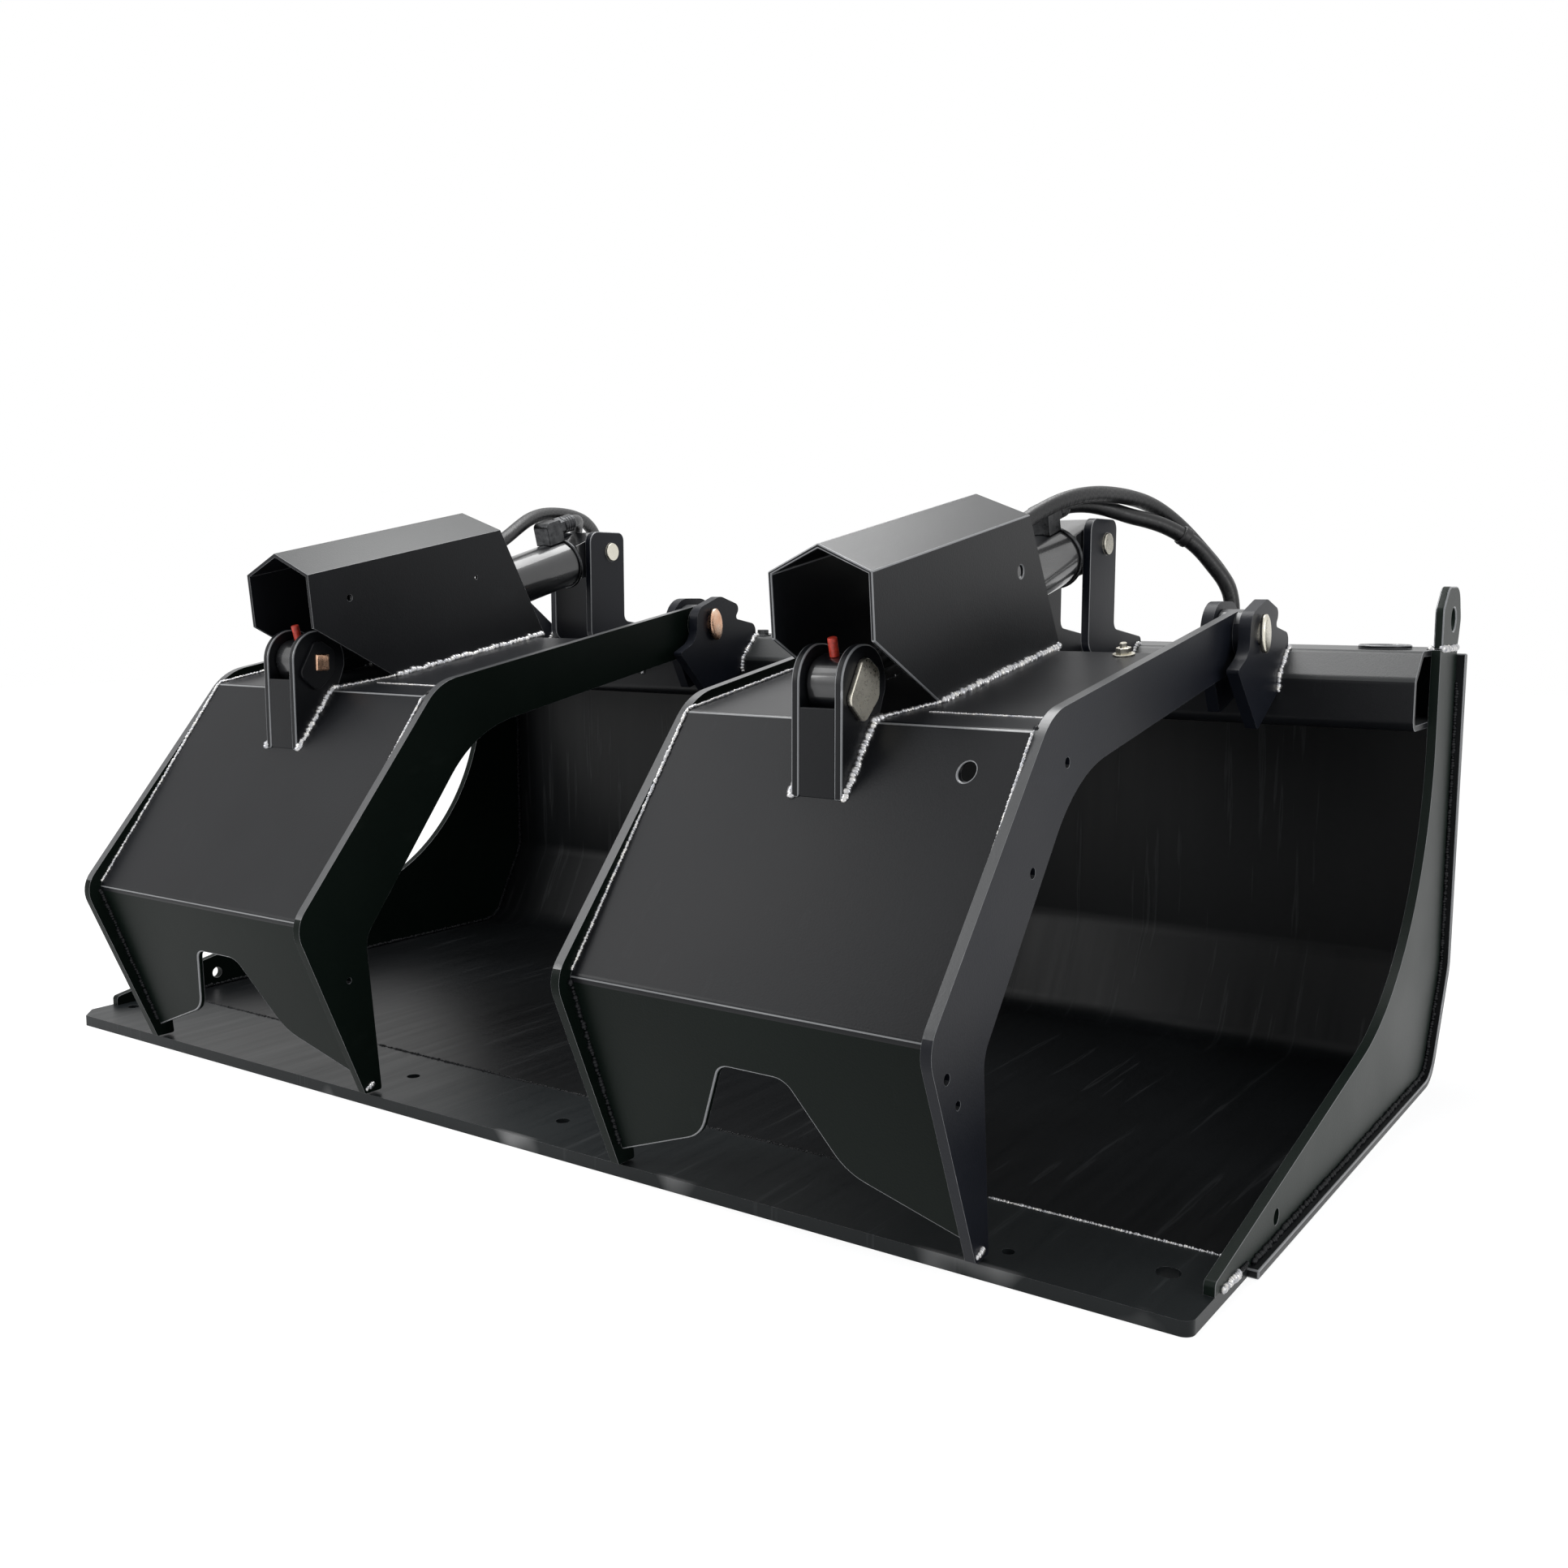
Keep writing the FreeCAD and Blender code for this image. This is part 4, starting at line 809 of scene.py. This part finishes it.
# %% Painted beads on the bucket
HEEL_INSIDE = [(152, 12), (868, 12), (884, 16), (900, 27), (945, 112), (958, 132), (967, 156),
               (968, 560)]
runs = [([spot(-898, 141, 15), spot(618, 141, 15)], 2.6),
        ([spot(-898, 968, 498), spot(898, 968, 498)], 3.6)]
for out in (-1, 1):
    for across in (out * 916.5, out * 901.5):
        runs.append(([spot(across, back, height) for back, height in HEEL_INSIDE], 3.4))
    runs.append(([spot(out * 916, 116, 17), spot(out * 916, 140, 17)], 2.6))
for place in (-570, -558, -217.2, -205.2, 205.2, 217.2, 558, 570):
    runs.append(([spot(place, 982, 175), spot(place, 982, 458)], 3.6))
laid("bucket_painted_beads", "bucket", coat, runs, pitch=1.1, sides=6)

# %% [markdown]
# The pins are held by small things: an oval keeper on each outer hinge pin is a disc
# stretched along one axis and stepped in twice, which is how a forged keeper looks. The
# barrels have a ring at each end, the shorter hose of each pair has a clip, and hexagon bolts
# sit on the right claw's top panel and on the rail. A copper square ends the left rod pin.

# %% Pin keepers
def keeper(mesh, place, outward, long, wide, thick, tilt):
    """An oval plate with rounded rims, standing on a pin's end."""
    stand = facing(place, (outward, 0, 0), math.radians(tilt))
    stand = stand @ Matrix.Diagonal((wide / 2000, long / 2000, 1, 1))
    verts = bmesh.ops.create_circle(mesh, segments=32, radius=1, cap_ends=True)["verts"]
    made = bmesh.ops.extrude_face_region(mesh, geom=[verts[0].link_faces[0]])["geom"]
    top = [g for g in made if isinstance(g, bmesh.types.BMVert)]
    bmesh.ops.translate(mesh, vec=(0, 0, thick / 1000), verts=top)
    cap = next(f for f in top[0].link_faces if len(f.verts) == 32)
    inner = bmesh.ops.inset_region(mesh, faces=[cap], thickness=0.12, depth=0.0)
    bmesh.ops.translate(mesh, vec=(0, 0, 0.0015), verts=list(cap.verts))
    bmesh.ops.inset_region(mesh, faces=[cap], thickness=0.2, depth=0.0)
    bmesh.ops.translate(mesh, vec=(0, 0, 0.0005), verts=list(cap.verts))
    everything = set(verts) | set(top) | set(cap.verts)
    for reach in range(2):
        for face in {f for v in everything for f in v.link_faces}:
            everything.update(face.verts)
    bmesh.ops.transform(mesh, matrix=stand, verts=list(everything))


for side, middle in CLAWS.items():
    mesh = bmesh.new()
    for out in (-1, 1):
        keeper(mesh, spot(middle + out * 271, 705, 628), out, 52, 30, 5, 8)
    plating = copper if side == "left" else zinc
    plates = add_piece(side + "_pin_keepers", finish_mesh(mesh), plating, "bucket")
print("pin keepers")

# %% Rings on the barrels
BARREL_RING = [(40.1, 0), (43, 1), (44, 3.5), (43, 6), (40.1, 7), (40.1, 0)]
for side, middle in CLAWS.items():
    base = spot(middle, 706, 749)
    ahead = (spot(middle, 90, 583) - base).normalized()
    mesh = bmesh.new()
    for along in (72, 396):
        spun(mesh, BARREL_RING, facing(base + ahead * along / 1000, ahead), steps=48)
    rings = add_piece(side + "_barrel_rings", finish_mesh(mesh), black_zinc, side + "_cylinder")
print("barrel rings")

# %% Hose clips
CLIP = [(11.1, -7), (13.6, -6.4), (14.2, -3), (13.6, 0), (14.2, 3), (13.6, 6.4), (11.1, 7),
        (11.1, -7)]
for side, middle in CLAWS.items():
    places = route(BASE_HOSE, 1 if middle > 0 else -1)
    mesh = bmesh.new()
    spun(mesh, CLIP, facing(places[8], places[9] - places[7]))
    clip = add_piece(side + "_hose_clip", finish_mesh(mesh), boot_rubber)
    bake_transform(clip)
print("hose clips")

# %% Bolts and the copper end
WASHER = [(0, 0), (13.5, 0), (14, 0.5), (14, 1.7), (13.5, 2.2), (0, 2.2)]
STUD = [(0, 1), (4.6, 1), (4.6, 15), (3.6, 16), (0, 16)]
mesh = bmesh.new()
top_stand = facing(spot(628, 474, on_top_panel(474)), (0, -0.169, 0.986))
spun(mesh, WASHER, top_stand)
hexagon(mesh, 17, 8, top_stand, lift=1.8)
spun(mesh, STUD, top_stand)
top_bolt = add_piece("right_claw_top_bolt", finish_mesh(mesh), zinc, "right_claw", smooth=False)

mesh = bmesh.new()
rail_stand = facing(spot(-185, 843, 605), (0, 0, 1))
spun(mesh, WASHER, rail_stand)
hexagon(mesh, 17, 9, rail_stand, lift=1.8)
rail_bolt = add_piece("rail_bolt", finish_mesh(mesh), black_zinc, "bucket", smooth=False)

flag = nodes["left_rod_pin"].data.vertices
face_at = Vector((max(v.co.x for v in flag), 0, 0)) + spot(0, 90, 583)
mesh = bmesh.new()
square = Matrix.Translation(face_at) @ Matrix.Diagonal((0.006, 0.023, 0.024, 1))
bmesh.ops.create_cube(mesh, size=1, matrix=square)
bmesh.ops.bevel(mesh, geom=mesh.edges[:], offset=0.0024, segments=3, profile=0.5,
                affect="EDGES", material=-1)
pin_end = add_piece("left_rod_pin_end", finish_mesh(mesh), copper, "left_claw")
print("bolts and the copper end")

# %% [markdown]
# The studio floor is mostly lit by itself for camera rays and reflections, so it melts into
# the white backdrop, and the rest of it is a plain matt surface that keeps a soft shadow
# under the bucket.

# %% Stage
floor_mesh = bmesh.new()
bmesh.ops.create_grid(floor_mesh, x_segments=1, y_segments=1, size=9)
stage_finish, stage_tree, stage_shader, stage_coords = start_finish("studio_floor")
stage_shader.inputs["Base Color"].default_value = (0.92, 0.92, 0.92, 1)
stage_shader.inputs["Roughness"].default_value = 0.9
stage_path = stage_tree.nodes.new("ShaderNodeLightPath")
stage_seen = stage_tree.nodes.new("ShaderNodeMath")
stage_seen.operation = "MAXIMUM"
stage_seen_too = stage_tree.nodes.new("ShaderNodeMath")
stage_seen_too.operation = "MAXIMUM"
stage_share = stage_tree.nodes.new("ShaderNodeMath")
stage_share.operation = "MULTIPLY"
stage_share.inputs[1].default_value = 0.6
stage_white = stage_tree.nodes.new("ShaderNodeEmission")
stage_white.inputs["Strength"].default_value = 1.43
stage_mix = stage_tree.nodes.new("ShaderNodeMixShader")
stage_out = stage_tree.nodes["Material Output"]
stage_tree.links.new(stage_path.outputs["Is Camera Ray"], stage_seen.inputs[0])
stage_tree.links.new(stage_path.outputs["Is Glossy Ray"], stage_seen.inputs[1])
stage_tree.links.new(stage_seen.outputs[0], stage_seen_too.inputs[0])
stage_tree.links.new(stage_path.outputs["Is Transmission Ray"], stage_seen_too.inputs[1])
stage_tree.links.new(stage_seen_too.outputs[0], stage_share.inputs[0])
stage_tree.links.new(stage_share.outputs[0], stage_mix.inputs["Fac"])
stage_tree.links.new(stage_shader.outputs[0], stage_mix.inputs[1])
stage_tree.links.new(stage_white.outputs[0], stage_mix.inputs[2])
stage_tree.links.new(stage_mix.outputs[0], stage_out.inputs["Surface"])
floor = add_piece("studio_floor", floor_mesh, stage_finish)
floor.location.z = -0.0005
